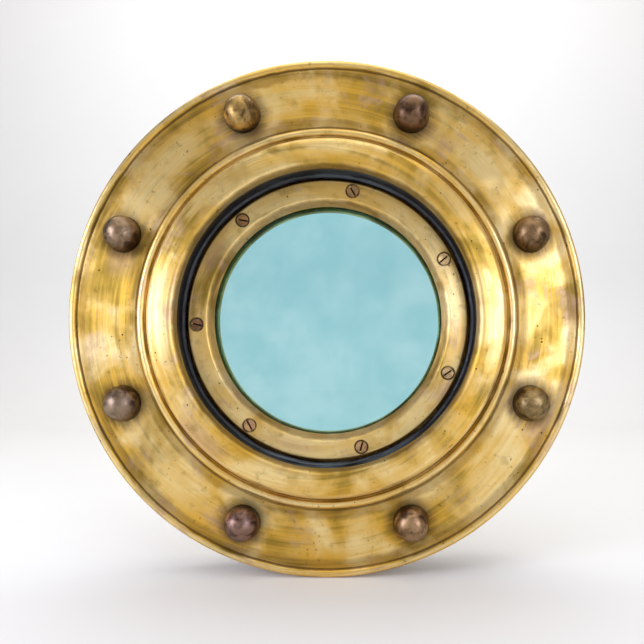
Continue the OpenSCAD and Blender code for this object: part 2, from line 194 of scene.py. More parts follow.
def lathe_solid(bm, outline, segments, place=Matrix.Identity(4), thread=None):
    """Turns an open outline of (radius, y), from axis to axis, about the Y axis.

    thread is (first y, last y, pitch, depth) of a helical thread cut into it.
    """
    poles = [bm.verts.new(place @ Vector((0, outline[0][1], 0))),
             bm.verts.new(place @ Vector((0, outline[-1][1], 0)))]
    rows = []
    for i in range(segments):
        a = 2 * math.pi * i / segments
        row = []
        for r, y in outline[1:-1]:
            if thread and thread[0] <= y <= thread[1]:
                r -= thread[3] * thread_wave(y / thread[2] - i / segments)
            row.append(bm.verts.new(place @ Vector((r * math.cos(a), y, r * math.sin(a)))))
        rows.append(row)
    for this, following in zip(rows, rows[1:] + rows[:1]):
        bm.faces.new((poles[0], this[0], following[0]))
        for j in range(len(this) - 1):
            bm.faces.new((this[j], this[j + 1], following[j + 1], following[j]))
        bm.faces.new((this[-1], poles[1], following[-1]))
    return [v for row in rows for v in row] + poles


def hand_worked(bm, verts, waves, seed=0.0):
    """Sinks the vertices along their normals by noise: waves is (size, depth) pairs in mm."""
    bmesh.ops.recalc_face_normals(bm, faces=bm.faces)
    bm.normal_update()
    moves = []
    for v in verts:
        depth = 0
        for size, most in waves:
            where = v.co / size + Vector((seed, size, -seed))
            depth += most * (0.5 + 0.5 * noise.noise(where))
        moves.append(v.co - v.normal * depth)
    for v, co in zip(verts, moves):
        v.co = co


def cut(obj, cutter, smooth_angle=30.0):
    """Subtracts one closed object from another, for good."""
    modifier = obj.modifiers.new("cut", "BOOLEAN")
    modifier.operation = "DIFFERENCE"
    modifier.solver = "MANIFOLD"
    modifier.object = cutter
    bpy.context.view_layer.update()
    mesh = bpy.data.meshes.new_from_object(obj.evaluated_get(bpy.context.evaluated_depsgraph_get()))
    obj.modifiers.clear()
    obj.data = mesh
    mesh.shade_smooth()
    mesh.set_sharp_from_angle(angle=math.radians(smooth_angle))
    bpy.data.objects.remove(cutter)
    return obj


def colour_points(obj, colours):
    """Stores one colour per vertex in the attribute that the tinted materials read."""
    attribute = obj.data.color_attributes.new("tint", "FLOAT_COLOR", "POINT")
    attribute.data.foreach_set("color", np.asarray(colours, np.float32).ravel())


def stand_in(piece, node, material):
    """Puts a detailed piece in the place of a CAD node: same body, with the given finish."""
    piece.data.materials.clear()
    piece.data.materials.append(material)
    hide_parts(node)
    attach(piece, BODIES[node])
    return piece


def at_bolts():
    return [around((i + 0.5) * 360 / BOLT_COUNT) @ shift(BOLT_CIRCLE, 0, 0) for i in range(BOLT_COUNT)]


def at_screws():
    angles = [FIRST_SCREW - i * 360 / SCREW_COUNT for i in range(SCREW_COUNT)]
    return [around(a) @ shift(SCREW_CIRCLE, 0, 0) for a in angles]


def at_dog(angle):
    """The place of a dog's own frame: pivot at the origin, shank along +Y."""
    return around(angle) @ Matrix.Translation(DOG_PIVOT) @ Matrix.Rotation(math.radians(-DOG_OUT), 4, "Z")


# ---------------------------------------------------------------- cast shapes from distances

def soft_union(a, b, k):
    """The smaller of two distances, blended over k as a cast fillet."""
    h = np.clip(0.5 + 0.5 * (b - a) / k, 0, 1)
    return b + (a - b) * h - k * h * (1 - h)


def soft_cut(a, b, k):
    """Distance a with the inside of distance b taken away, its edge eased over k."""
    return -soft_union(-a, b, k)


def outline_distance(outline, x, y):
    """Signed distance from (x, y) to a closed outline, negative inside."""
    shape = np.broadcast(x, y).shape
    best = np.full(shape, np.inf)
    inside = np.zeros(shape, bool)
    for (ax, ay), (bx, by) in zip(outline, outline[1:] + outline[:1]):
        ex, ey = bx - ax, by - ay
        px, py = x - ax, y - ay
        t = np.clip((px * ex + py * ey) / (ex * ex + ey * ey), 0, 1)
        best = np.minimum(best, (px - ex * t) ** 2 + (py - ey * t) ** 2)
        if ey:
            inside ^= ((ay > y) != (by > y)) & (px < ex / ey * py)
    return np.where(inside, -1, 1) * np.sqrt(best)


def plate(flat, across, half, edge):
    """A plate of half thickness about across = 0, with eased edges, from its outline's distance."""
    a = flat + edge
    b = np.abs(across) - half + edge
    return np.minimum(np.maximum(a, b), 0) + np.hypot(np.maximum(a, 0), np.maximum(b, 0)) - edge


def stick(x, y, ax, ay, bx, by, ra, rb):
    """Distance to a tapered bar from a to b with round ends of radius ra and rb."""
    ex, ey = bx - ax, by - ay
    t = np.clip(((x - ax) * ex + (y - ay) * ey) / (ex * ex + ey * ey), 0, 1)
    return np.hypot(x - ax - ex * t, y - ay - ey * t) - ra - (rb - ra) * t


def graded(start, *stretches):
    """Grid positions from start through stretches of (end, step)."""
    out = [start]
    for end, step in stretches:
        out += list(np.linspace(out[-1], end, max(2, round((end - out[-1]) / step) + 1))[1:])
    return np.array(out)


def ring_angles(windows):
    """Angles round a ring in radians, close together inside the windows of (centre, half width) degrees."""
    fine, coarse = 0.4, 2.5
    out, a = [], 0.0
    while a < 360 - 1e-6:
        out.append(a)
        near = any(abs((a - c + 180) % 360 - 180) < w for c, w in windows)
        a += fine if near else coarse
    return np.radians(out + [360.0])


def ring_space(t, r, y):
    return r * np.cos(t), y, r * np.sin(t), r


def plain_space(x, y, z):
    return x, y, z, np.hypot(x, z)


def net(field, axes, space, wraps=False):
    """The zero surface of a distance field on a grid of three axes, as points and quads."""
    grid = [a.reshape([-1 if i == k else 1 for i in range(3)]) for k, a in enumerate(axes)]
    value = np.zeros([len(a) for a in axes]) + field(*space(*grid))
    size = [n - 1 for n in value.shape]
    corners = [(i, j, k) for i in (0, 1) for j in (0, 1) for k in (0, 1)]
    low = value < 0
    filled = sum(low[i:size[0] + i, j:size[1] + j, k:size[2] + k].astype(np.int8) for i, j, k in corners)
    cells = np.argwhere((filled > 0) & (filled < 8))
    index = np.full(size, -1)
    index[tuple(cells.T)] = np.arange(len(cells))
    middle = net_points(value, axes, cells, corners)
    return np.stack(space(*middle.T)[:3], 1), net_quads(low, index, wraps)


def net_points(value, axes, cells, corners):
    """One grid position for each cell: the mean of where the surface crosses the cell's edges."""
    total, hits = np.zeros((len(cells), 3)), np.zeros(len(cells))
    for along in range(3):
        for corner in corners:
            if corner[along]:
                continue
            p = cells + corner
            q = p.copy()
            q[:, along] += 1
            v, w = value[tuple(p.T)], value[tuple(q.T)]
            crossed = (v < 0) != (w < 0)
            t = np.where(crossed, v / np.where(crossed, v - w, 1.0), 0.0)
            point = np.stack([a[p[:, k]] for k, a in enumerate(axes)], 1)
            point[:, along] += t * (axes[along][q[:, along]] - axes[along][p[:, along]])
            total += point * crossed[:, None]
            hits += crossed
    return total / hits[:, None]


def net_quads(low, index, wraps):
    """A quad of four cells' points round every grid edge that the surface crosses."""
    size = index.shape
    quads = []
    for along in range(3):
        b, c = [(1, 2), (2, 0), (0, 1)][along]
        start = [slice(None)] * 3
        start[along] = slice(0, -1)
        end = [slice(None)] * 3
        end[along] = slice(1, None)
        first, second = low[tuple(start)], low[tuple(end)]
        edges = np.argwhere(first != second)
        for k in (b, c):
            least = 0 if wraps and k == 0 else 1
            edges = edges[(edges[:, k] >= least) & (edges[:, k] < size[k])]
        around_edge = []
        for step_b, step_c in ((1, 1), (0, 1), (0, 0), (1, 0)):
            cell = edges.copy()
            cell[:, b] -= step_b
            cell[:, c] -= step_c
            if wraps:
                cell[:, 0] %= size[0]
            around_edge.append(index[tuple(cell.T)])
        quads.append(np.stack(around_edge, 1))
    return np.concatenate(quads)


def field_at(field, points):
    """A distance field's value at each point."""
    return field(points[:, 0], points[:, 1], points[:, 2], np.hypot(points[:, 0], points[:, 2]))


def field_normals(field, points):
    """Unit vectors in which a distance field grows fastest."""
    e = 0.02
    rises = [field_at(field, points + e * axis) - field_at(field, points - e * axis) for axis in np.eye(3)]
    slope = np.stack(rises, 1) / (2 * e)
    return slope / np.maximum(np.linalg.norm(slope, axis=1, keepdims=True), 1e-6)


def cast(name, field, axes, space=plain_space, wraps=False, place=None):
    """A closed mesh of a distance field, with its points and normals drawn from the field itself."""
    rounds, reach = 3, 0.35
    points, quads = net(field, axes, space, wraps)
    for _ in range(rounds):
        miss = np.clip(field_at(field, points), -reach, reach)
        points = points - miss[:, None] * field_normals(field, points)
    normals = field_normals(field, points)
    if place is not None:
        turn = np.array(place.to_3x3())
        points = points @ turn.T + np.array(place.translation)
        normals = normals @ turn.T
    mesh = bpy.data.meshes.new(name)
    mesh.from_pydata((points * MM).tolist(), [], quads.tolist())
    mesh.update()
    bm = bmesh.new()
    bm.from_mesh(mesh)
    bmesh.ops.recalc_face_normals(bm, faces=bm.faces)
    bm.to_mesh(mesh)
    bm.free()
    mesh.shade_smooth()
    mesh.normals_split_custom_set_from_vertices(normals.tolist())
    obj = bpy.data.objects.new(name, mesh)
    bpy.context.scene.collection.objects.link(obj)
    return obj


# ---------------------------------------------------------------- outboard pieces

def outboard(points):
    """Turns points of (radius, height outboard) into (radius, y)."""
    return [(r, -h) for r, h in points]


def outer_flange():
    """The cast outer flange: a beaded rim, a flat for the bolts, and a raised collar."""
    rim = arc(196.75, 7.5, 3.25, 0, 150, 14)
    bead = arc(142.9, 11.6, 3.1, -25, 165, 14)
    shoulder = arc(132.4, 13.2, 5.8, 0, 70, 10)
    crown = [(132.4 - 2.4 * k, 18.65 + 1.35 * math.sin(math.radians(18 * k))) for k in range(1, 5)]
    lip = arc(120.6, 14.0, 6.0, 80, 180, 16)
    profile = [(126.3, 0), (199, 0), (200, 1)] + rim
    profile += [(193.75, 8.75), (193.45, 8.45), (193.1, 8.75), (192.6, 8.97)]
    profile += [(185.5, FLANGE_T), (156, FLANGE_T), (150, 9.3), (147, 9.62), (146.2, 9.5)]
    profile += bead + [(139.2, 11.9), (138.6, 11.7), (138.25, 12.2)] + shoulder + crown + lip
    profile += [(114.6, 13.2), (119.5, 13.2), (119.5, 10), (126.3, 10)]
    bm = bmesh.new()
    verts = lathe_ring(bm, resample(outboard(profile), 2.6), 360)
    hand_worked(bm, verts, [(55, 0.16), (17, 0.05)], seed=1.0)
    flange = make_object("outer_flange_casting", bm)
    holes = bmesh.new()
    for place in at_bolts():
        lathe_solid(holes, [(0, -12), (BOLT_HOLE_R, -12), (BOLT_HOLE_R, 1), (0, 1)], 32, place)
    return cut(flange, make_object("bolt_holes", holes))


def bolt_outline(lean):
    """A through bolt's outline from dome to tip; lean makes the dome fuller or more pointed."""
    dome = []
    for degrees in range(0, 91, 5):
        a = math.radians(degrees)
        y = -(FLANGE_T + DOME_H - DOME_BALL + DOME_BALL * math.cos(a))
        dome.append((DOME_R * math.sin(a) ** lean, y))
    dome[0] = (0, dome[0][1])
    skirt = [(DOME_R, -FLANGE_T - 1.1), (DOME_R - 0.35, -FLANGE_T - 0.35), (DOME_R - 1.3, -FLANGE_T)]
    shank = [(6.5, -FLANGE_T), (6.5, -1), (6, -0.5), (6, 24)]
    steps = int((BOLT_TIP_Y - 1.0 - THREAD_FOOT_Y) / 0.3)
    thread = [(THREAD_R - 0.05, THREAD_FOOT_Y + 0.3 * k) for k in range(steps + 1)]
    tip = [(THREAD_R - 1.3, BOLT_TIP_Y), (0, BOLT_TIP_Y)]
    return dome + skirt + shank + thread + tip


def flange_bolts():
    """Domed through bolts, each cast a little differently, with threaded inboard ends."""
    pick = random.Random(8)
    thread = (THREAD_FOOT_Y + 0.2, BOLT_TIP_Y - 1.6, 1.75, 0.8)
    bm = bmesh.new()
    tones = []
    for i, place in enumerate(at_bolts()):
        fresh = bmesh.new()
        lathe_solid(fresh, bolt_outline(pick.uniform(0.90, 1.06)), 64, thread=thread)
        turn = Matrix.Rotation(pick.uniform(0, 6.28), 4, "Y")
        bmesh.ops.transform(fresh, matrix=place @ turn, verts=fresh.verts)
        heads = [v for v in fresh.verts if v.co.y < -FLANGE_T - 1.5]
        hand_worked(fresh, heads, [(14, 0.5), (5, 0.25), (2.2, 0.08)], seed=3.1 * i)
        mesh = bpy.data.meshes.new("bolt")
        fresh.to_mesh(mesh)
        fresh.free()
        bm.from_mesh(mesh)
        tones += [BOLT_TONES[i]] * len(mesh.vertices)
        bpy.data.meshes.remove(mesh)
    bolts = make_object("domed_bolts", bm, 32)
    colour_points(bolts, tones)
    return bolts


def throat_seal():
    """The rubber lining of the throat, pressed out unevenly between the collar and the plug."""
    outline = rounded([(119.5, -13.19), (119.5, 10, 0.5), (116.5, 10, 0.8), (115.5, 7, 1.0), (113.2, 6, 0.6),
                       (112.6, 5, 0.6), (112.6, 3, 0.6), (113.4, 2, 0.6), (115, 0.5, 1.5), (115, -12.6, 0.5),
                       (115.6, -13.19, 0.3)], 4)
    bm = bmesh.new()
    verts = lathe_ring(bm, resample(outline, 0.9), 480)
    inner = [v for v in verts if math.hypot(v.co.x, v.co.z) < 117 and v.co.y < 7]
    hand_worked(bm, inner, [(22, 0.5), (6, 0.35), (2.4, 0.12)], seed=5.0)
    return make_object("throat_lining", bm, 60)


def bezel_ring():
    """The bezel: a flat land with countersunk holes, and a bevelled inner edge."""
    outline = rounded([(90.5, 6, 0.3), (110.5, 6, 0.3), (110.5, 1, 0.9), (96.4, 1, 0.5), (95.4, 1.6, 0.8),
                       (90.5, 5.2, 0.4)], 5)
    bm = bmesh.new()
    verts = lathe_ring(bm, resample(outline, 1.6), 360)
    hand_worked(bm, verts, [(40, 0.07), (11, 0.04)], seed=9.0)
    bezel = make_object("bezel_casting", bm)
    holes = bmesh.new()
    for place in at_screws():
        lathe_solid(holes, [(0, 0.5), (5.45, 0.5), (4.95, 1.0), (2.75, 3.2), (2.75, 7), (0, 7)], 40, place)
    return cut(bezel, make_object("screw_holes", holes))


def add_slot(bm, place):
    """A cutter for a screw's slot: deep and narrow, with its burred edges flared out."""
    wide, deep, flare = 0.55, 1.25, 0.28
    section = [(-wide, deep), (wide, deep), (wide, 0.32), (wide + flare, 0), (wide + flare, -0.6),
               (-wide - flare, -0.6), (-wide - flare, 0), (-wide, 0.32)]
    head_y, half_length = 1.2, 6
    near, far = [[bm.verts.new(place @ Vector((x, head_y + depth, z))) for z, depth in section]
                 for x in (-half_length, half_length)]
    bm.faces.new(near)
    bm.faces.new(far[::-1])
    for a, b, c, d in zip(near, near[1:] + near[:1], far[1:] + far[:1], far):
        bm.faces.new((a, d, c, b))


def nearest(point, places):
    """The number of the place that a mesh point, in metres, lies nearest to."""
    return min(range(len(places)), key=lambda k: (point / MM - places[k]).length)


def bezel_screws():
    """Slotted countersunk screws, with burred slots at their own angles."""
    pick = random.Random(21)
    outline = rounded([(0, 1.18), (4.5, 1.2, 0.25), (4.68, 1.42, 0.15), (2.5, 3.6)], 4)
    outline += [(2.5, 4.2 + 0.25 * k) for k in range(44)] + [(1.4, 16.1), (0, 16.1)]
    outline = resample(outline, 0.8, closed=False)
    bm, slots = bmesh.new(), bmesh.new()
    for i, place in enumerate(at_screws()):
        upright = Matrix.Translation(place.translation)
        fresh = bmesh.new()
        lathe_solid(fresh, outline, 56, upright, thread=(4.4, 14.9, 1.25, 0.5))
        heads = [v for v in fresh.verts if v.co.y < 1.5]
        hand_worked(fresh, heads, [(4.0, 0.16), (1.4, 0.08)], seed=2.3 * i)
        mesh = bpy.data.meshes.new("screw")
        fresh.to_mesh(mesh)
        fresh.free()
        bm.from_mesh(mesh)
        bpy.data.meshes.remove(mesh)
        add_slot(slots, upright @ around(SLOT_ANGLES[i] + pick.uniform(-2, 2)))
    screws = cut(make_object("slotted_screws", bm), make_object("slots", slots), 30)
    centres = [place.translation for place in at_screws()]
    colour_points(screws, [SCREW_TONES[nearest(v.co, centres)] for v in screws.data.vertices])
    return screws


def glass_pane():
    """Thick plate glass with ground edges."""
    bm = bmesh.new()
    front_y, back_y, radius, bevel = GLASS_FRONT_Y, GLASS_BACK_Y, 97, 0.9
    edge = rounded([(0, front_y), (radius, front_y, bevel), (radius, back_y, bevel), (0, back_y)], 4)[1:-1]
    front = [(r, front_y) for r in (0, 24, 48, 72, 90)]
    back = [(r, back_y) for r in (90, 72, 48, 24, 0)]
    lathe_solid(bm, front + edge + back, 256)
    return make_object("plate_glass", bm, 50)


def rubber_ring(name, r_in, r_out, y0, y1, edge, squeeze):
    """A moulded ring with round edges that has taken a set where it is pressed."""
    outline = rounded([(r_in, y0, edge), (r_out, y0, edge), (r_out, y1, edge), (r_in, y1, edge)], 4)
    bm = bmesh.new()
    verts = lathe_ring(bm, resample(outline, 1.0), 300)
    hand_worked(bm, verts, [(9, squeeze), (3, squeeze / 3)], seed=r_in)
    return make_object(name, bm, 60)


# ---------------------------------------------------------------- inboard castings

def fold(x, z, count, first=0.0):
    """Coordinates from the nearest of count places spaced round the port's axis."""
    step = 2 * np.pi / count
    angle = np.arctan2(z, x) - first
    local = (angle + step / 2) % step - step / 2
    r = np.hypot(x, z)
    return r * np.cos(local), r * np.sin(local)


def lug_outline(u, v, top, foot, drop):
    """Distance to a lug's side view: a round end over a foot that widens down to -drop."""
    lean = (foot - top) / drop
    leg = (np.abs(u) - top + lean * v) / math.hypot(1, lean)
    return np.minimum(np.hypot(u, v) - top, np.maximum(np.maximum(leg, v), -drop - v))


MAIN_OUTLINE = rounded([(119.5, -9, 1), (126, -9, 1.2), (126, 25, 0.6), (190, 25, 1.2), (190, 34, 2.6),
                        (134, 34, 3.5), (134, 42, 1.2), (131, 42, 0.3), (131, 38, 0.3), (123, 38, 0.3),
                        (123, 42, 0.3), (119.5, 42, 0.8)], 4)


def main_frame_shape(x, y, z, r):
    """The main frame: spigot, inner flange, grooved seat, hinge lugs and the two dog seats."""
    shape = outline_distance(MAIN_OUTLINE, r, y) + 0 * x
    u, v = x - HINGE.x, y - HINGE.y
    lugs = plate(lug_outline(u, v, LUG_R, LUG_FOOT, LUG_DROP), np.abs(z) - LUG_MIDDLE, LUG_HALF, 1.1)
    shape = soft_union(shape, lugs, 3.0)
    slope = 1 / math.tan(math.radians(DOG_OUT))
    under = (SHANK_R + 0.3) / math.sin(math.radians(DOG_OUT))
    for angle in DOG_ANGLES.values():
        c, s = math.cos(math.radians(angle)), math.sin(math.radians(angle))
        u, w, v = x * c + z * s - DOG_PIVOT.x, z * c - x * s, y - DOG_PIVOT.y
        ears = plate(lug_outline(u, v, EAR_R, EAR_FOOT, EAR_DROP), np.abs(w) - EAR_MIDDLE, EAR_HALF, 0.9)
        ramp = (v - u * slope + under) / math.hypot(1, slope)
        block = np.maximum(np.abs(u - REST_U) - REST_HALF_U, -9 - v)
        rest = plate(np.maximum(block, ramp), w, REST_HALF_W, 0.8)
        shape = soft_union(shape, np.minimum(ears, rest), 2.4)
        bore = np.maximum(np.hypot(u, v) - DOG_PIN_R - RUNNING_GAP, np.abs(w) - 16)
        shape = soft_cut(shape, bore, 0.8)
    bore = np.maximum(np.hypot(x - HINGE.x, y - HINGE.y) - HINGE_PIN_R - RUNNING_GAP, np.abs(z) - 24)
    shape = soft_cut(shape, bore, 0.8)
    a, b = fold(x, z, BOLT_COUNT, math.pi / BOLT_COUNT)
    bolt_holes = np.maximum(np.hypot(a - BOLT_CIRCLE, b) - BOLT_HOLE_R, np.abs(y - 29.5) - 8)
    return soft_cut(shape, bolt_holes, 0.8)


def main_frame():
    """The main frame, on a grid that is fine at the hinge, the dogs and the bolt holes."""
    radii = graded(118, (128, 0.5), (130, 0.5), (136, 0.5), (140, 1.2), (141, 0.7), (168, 0.7),
                   (187, 1.0), (192, 0.5))
    heights = graded(-10.5, (-7, 0.5), (23, 3.0), (27, 0.5), (31, 1.0), (43, 0.5), (58.5, 0.7))
    windows = [(180, 10.5)] + [(a, 9) for a in DOG_ANGLES.values()]
    windows += [(22.5 + 45 * k, 3) for k in range(BOLT_COUNT)]
    axes = (ring_angles(windows), radii, heights)
    return cast("main_frame_casting", main_frame_shape, axes, ring_space, wraps=True)


GLASS_OUTLINE = rounded([(97.5, 6, 0.3), (110.5, 6, 0.6), (110.5, 41, 0.8), (112.5, 43, 1.2),
                         (125.5, 43, 0.3), (126.1, 41.8, 0.4), (127.9, 41.8, 0.4), (128.5, 43, 0.3),
                         (134, 43, 1.0), (134, 52, 3.0), (98, 52, 2.2), (98, 26, 1.5), (90, 26, 1.2),
                         (90, 20, 0.3), (97.5, 20, 0.3)], 4)


def glass_frame_shape(x, y, z, r):
    """The glass frame: a thick turned ring with its plug, the hinge knuckle and the two forks."""
    shape = outline_distance(GLASS_OUTLINE, r, y) + 0 * x
    knuckle = np.hypot(x - HINGE.x, y - HINGE.y) - LUG_R
    tongue = np.maximum(np.maximum(np.abs(y - 47.5) - 4.5, HINGE.x - x), x + 124)
    arm = plate(np.minimum(knuckle, tongue), z, 11.5, 1.0)
    shape = soft_union(shape, arm, 2.5)
    for angle in DOG_ANGLES.values():
        c, s = math.cos(math.radians(angle)), math.sin(math.radians(angle))
        u, w = x * c + z * s, z * c - x * s
        body = np.maximum(np.maximum(u - FORK_OUT, FORK_IN - u), np.abs(w) - FORK_HALF_W)
        prongs = np.minimum(body, np.hypot(u - FORK_OUT, np.abs(w) - PRONG_MIDDLE) - PRONG_END_R)
        slot = stick(u, w, FORK_SLOT_IN, 0, 175, 0, FORK_SLOT_HALF, FORK_SLOT_HALF)
        fork = plate(soft_cut(prongs, slot, 0.8), y - FORK_Y, FORK_HALF_T, 1.3)
        ramp = (y - 53.2 - (u - 106.5) * 1.1) / math.hypot(1, 1.1)
        fork = soft_cut(fork, -ramp, 2.0)
        shape = soft_union(shape, fork, 3.5)
    bore = np.maximum(np.hypot(x - HINGE.x, y - HINGE.y) - HINGE_PIN_R - RUNNING_GAP, np.abs(z) - 14)
    shape = soft_cut(shape, bore, 0.8)
    a, b = fold(x, z, SCREW_COUNT, math.radians(FIRST_SCREW))
    return soft_cut(shape, np.maximum(np.hypot(a - SCREW_CIRCLE, b) - 2.6, np.abs(y - 10) - 7), 0.3)


def glass_frame():
    """The glass frame, on a grid that is fine at the knuckle, the forks and the screw holes."""
    radii = graded(88.5, (92, 0.5), (96.5, 1.1), (112, 0.5), (124, 1.2), (136, 0.5), (144, 1.0),
                   (162, 0.6))
    heights = graded(4.6, (8, 0.5), (18.5, 2.6), (27.5, 0.5), (39.5, 3.0), (44.5, 0.4), (49, 0.9),
                     (61.5, 0.5))
    windows = [(180, 6)] + [(a, 8.5) for a in DOG_ANGLES.values()]
    windows += [(FIRST_SCREW + 360 / SCREW_COUNT * k, 1.7) for k in range(SCREW_COUNT)]
    axes = (ring_angles(windows), radii, heights)
    return cast("glass_frame_casting", glass_frame_shape, axes, ring_space, wraps=True)


# ---------------------------------------------------------------- fixings and dogs

def hex_nut_shape(x, y, z, r):
    """A chamfered hexagon nut from y = 0 up."""
    flats = np.abs(z)
    for angle in (60, -60):
        a = math.radians(angle)
        flats = np.maximum(flats, np.abs(z * math.cos(a) + x * math.sin(a)))
    depth = NUT_H / 2 - np.abs(y - NUT_H / 2)
    cone = (r - NUT_AF / 2 + 0.2) * 0.434 - depth * 0.901
    body = np.maximum(plate(flats - NUT_AF / 2, y - NUT_H / 2, NUT_H / 2, 0.25), cone)
    countersink = (THREAD_R + 0.9 - r - depth) * 0.707
    return np.maximum(np.maximum(body, countersink), THREAD_R - r)


def flange_nuts():
    """Eight nuts, each stopped at its own angle."""
    pick = random.Random(5)
    grid = graded(-11.4, (11.4, 0.4))
    pattern = cast("nut", hex_nut_shape, (grid, graded(-0.6, (10.6, 0.4)), grid))
    bm = bmesh.new()
    for place in at_bolts():
        turn = shift(0, FACE_Y + WASHER_T, 0) @ Matrix.Rotation(pick.uniform(0, 1.05), 4, "Y")
        copy = pattern.data.copy()
        copy.transform(Matrix.Scale(1 / MM, 4))
        copy.transform(place @ turn)
        bm.from_mesh(copy)
        bpy.data.meshes.remove(copy)
    bpy.data.objects.remove(pattern)
    return make_object("hexagon_nuts", bm, 25)


def washers(name, places, r_in, r_out, y0, y1):
    """Turned washers with eased edges, standing along each place's own Y axis."""
    bm = bmesh.new()
    outline = rounded([(r_in, y0, 0.3), (r_out, y0, 0.5), (r_out, y1, 0.5), (r_in, y1, 0.3)], 4)
    for i, place in enumerate(places):
        verts = lathe_ring(bm, resample(outline, 2.0), 72, place)
        hand_worked(bm, verts, [(7, 0.06)], seed=float(i))
    return make_object(name, bm, 40)


# Turns a piece drawn along +Y so that it stands along +Z.
ON_END = Matrix.Rotation(math.radians(90), 4, "X")


def headed_pins(name, places, r, head_r, head_h, top, bottom, turn):
    """Headed pins with a cross hole for a split pin, drawn along +Z of each place."""
    bm, holes = bmesh.new(), bmesh.new()
    end = top + head_h
    shank = [(0, bottom), (r - 0.9, bottom, 0.3), (r, bottom + 1, 0.4), (r, top - 0.2), (r - 0.2, top)]
    head = [(head_r, top, 0.25), (head_r, end - 1, 0.8), (head_r - 1.2, end - 0.1, 0.6), (0, end)]
    outline = rounded(shank + head, 5)
    for i, place in enumerate(places):
        verts = lathe_solid(bm, resample(outline, 2.0, closed=False), 64, place @ ON_END)
        hand_worked(bm, verts, [(6, 0.05), (1.8, 0.03)], seed=4.0 + i)
        across = place @ Matrix.Rotation(math.radians(turn), 4, "Z") @ shift(0, 0, bottom + 3)
        lathe_solid(holes, [(0, -r - 1), (1.5, -r - 1), (1.5, r + 1), (0, r + 1)], 24, across)
    return cut(make_object(name, bm), make_object("cross_holes", holes), 30)


def split_pin_path(half):
    """The middle line of a split pin's wire: leg, stem, eye, stem and leg."""
    eye = arc(0, -half - 2.75, 2.0, 60, -240, 28)
    stem_y = [-half + 0.3 + (2 * half - 0.9) * k / 8 for k in range(9)]
    stem = [(0.03, y) for y in reversed(stem_y)]
    leg = []
    for t in np.linspace(0, 1, 9):
        spread = 0.12 + 0.75 * t * t + 3.2 * max(0, t - 0.3)
        leg.append((spread, half - 0.4 + 4.3 * t))
    other_stem = [(-x, y) for x, y in reversed(stem)]
    other_leg = [(-x, y) for x, y in leg]
    return leg[::-1] + stem + eye + other_stem + other_leg


def split_pins(name, places, half):
    """Split pins of folded half-round wire: a round eye, a doubled stem and two spread legs."""
    wire = 1.33
    path = split_pin_path(half)
    turns = np.linspace(-math.pi / 2, math.pi / 2, 11)
    section = [(wire * math.cos(a), wire * math.sin(a)) for a in turns]
    bm = bmesh.new()
    for place in places:
        rows = []
        for k, (x, y) in enumerate(path):
            ahead, behind = path[min(k + 1, len(path) - 1)], path[max(k - 1, 0)]
            along = Vector((ahead[0] - behind[0], ahead[1] - behind[1])).normalized()
            out = Vector((-along.y, along.x))
            thin = 0.62 if y < -half else (0.8 if y > half else 1.0)
            row = [Vector((x + out.x * n * thin, y + out.y * n * thin, b * thin)) for n, b in section]
            rows.append([bm.verts.new(place @ point) for point in row])
        for this, following in zip(rows, rows[1:]):
            for j in range(len(section)):
                m = (j + 1) % len(section)
                bm.faces.new((this[j], this[m], following[m], following[j]))
        bm.faces.new(rows[0][::-1])
        bm.faces.new(rows[-1])
    return make_object(name, bm, 35)


def dog_bolt_shape(x, y, z, r):
    """A swing bolt: a round eye, a flared neck and a threaded shank with a cross hole."""
    eye = plate(np.hypot(x, y) - 7, z, 6.5, 0.9)
    turns = y / 1.5 - np.arctan2(z, x) / (2 * np.pi)
    cut_depth = 0.42 * np.clip((y - 10.5) / 1.5, 0, 1) * (1 - np.abs(2 * (turns % 1.0) - 1))
    shank = np.maximum(np.maximum(r - SHANK_R + cut_depth, -y), y - DOG_LEN)
    shank = np.maximum(shank, (r - SHANK_R + y - DOG_LEN + 1) * 0.707)
    neck = np.maximum(np.maximum((r - SHANK_R - 1.3 * (1 - y / 9)) * 0.99, -y), y - 9)
    shape = soft_union(eye, np.minimum(shank, neck), 1.6)
    eye_bore = np.maximum(np.hypot(x, y) - DOG_PIN_R - RUNNING_GAP, np.abs(z) - 9)
    shape = soft_cut(shape, eye_bore, 0.6)
    return np.maximum(shape, 1.3 - np.hypot(x, y - KEEPER_Y))


def wing_nut_shape(x, y, z, r):
    """A wing nut from y = 0 up: a tapered hub, and two wings that sweep up and out."""
    taper = 9 - np.clip(y - 3, 0, 9) * 0.17 - np.clip(y - 12, 0, 1)
    hub = plate((r - taper) * 0.98, y - 6.5, 6.5, 0.8)
    side = np.abs(x)
    root = stick(side, y, 5.5, 5.5, 16.5, 13.5, 3.4, 2.6)
    ear = stick(side, y, 16.5, 13.5, 18.5, 20.5, 2.6, 3.45)
    wing = np.minimum(root, ear)
    thick = 2.75 - 0.035 * np.clip(side - 8, 0, 12)
    wings = plate(wing, z * 2.75 / thick, 2.75, 2.1)
    shape = soft_union(hub, wings, 3.2)
    shape = np.maximum(shape, SHANK_R + RUNNING_GAP - r)
    lower_bevel = (SHANK_R + 0.9 - r - y) * 0.707
    upper_bevel = (SHANK_R + 0.9 - r - 13 + y) * 0.707
    return np.maximum(shape, np.maximum(lower_bevel, upper_bevel))


def dog_bolt(name, place):
    axes = (graded(-7.6, (7.6, 0.4)), graded(-7.6, (9, 0.4), (46.6, 0.25)), graded(-7.1, (7.1, 0.4)))
    return cast(name, dog_bolt_shape, axes, place=place)


def wing_nut(name, place):
    axes = (graded(-22.6, (22.6, 0.45)), graded(-0.7, (24.6, 0.45)), graded(-9.6, (9.6, 0.4)))
    return cast(name, wing_nut_shape, axes, place=place @ shift(0, DOG_NUT_Y, 0))


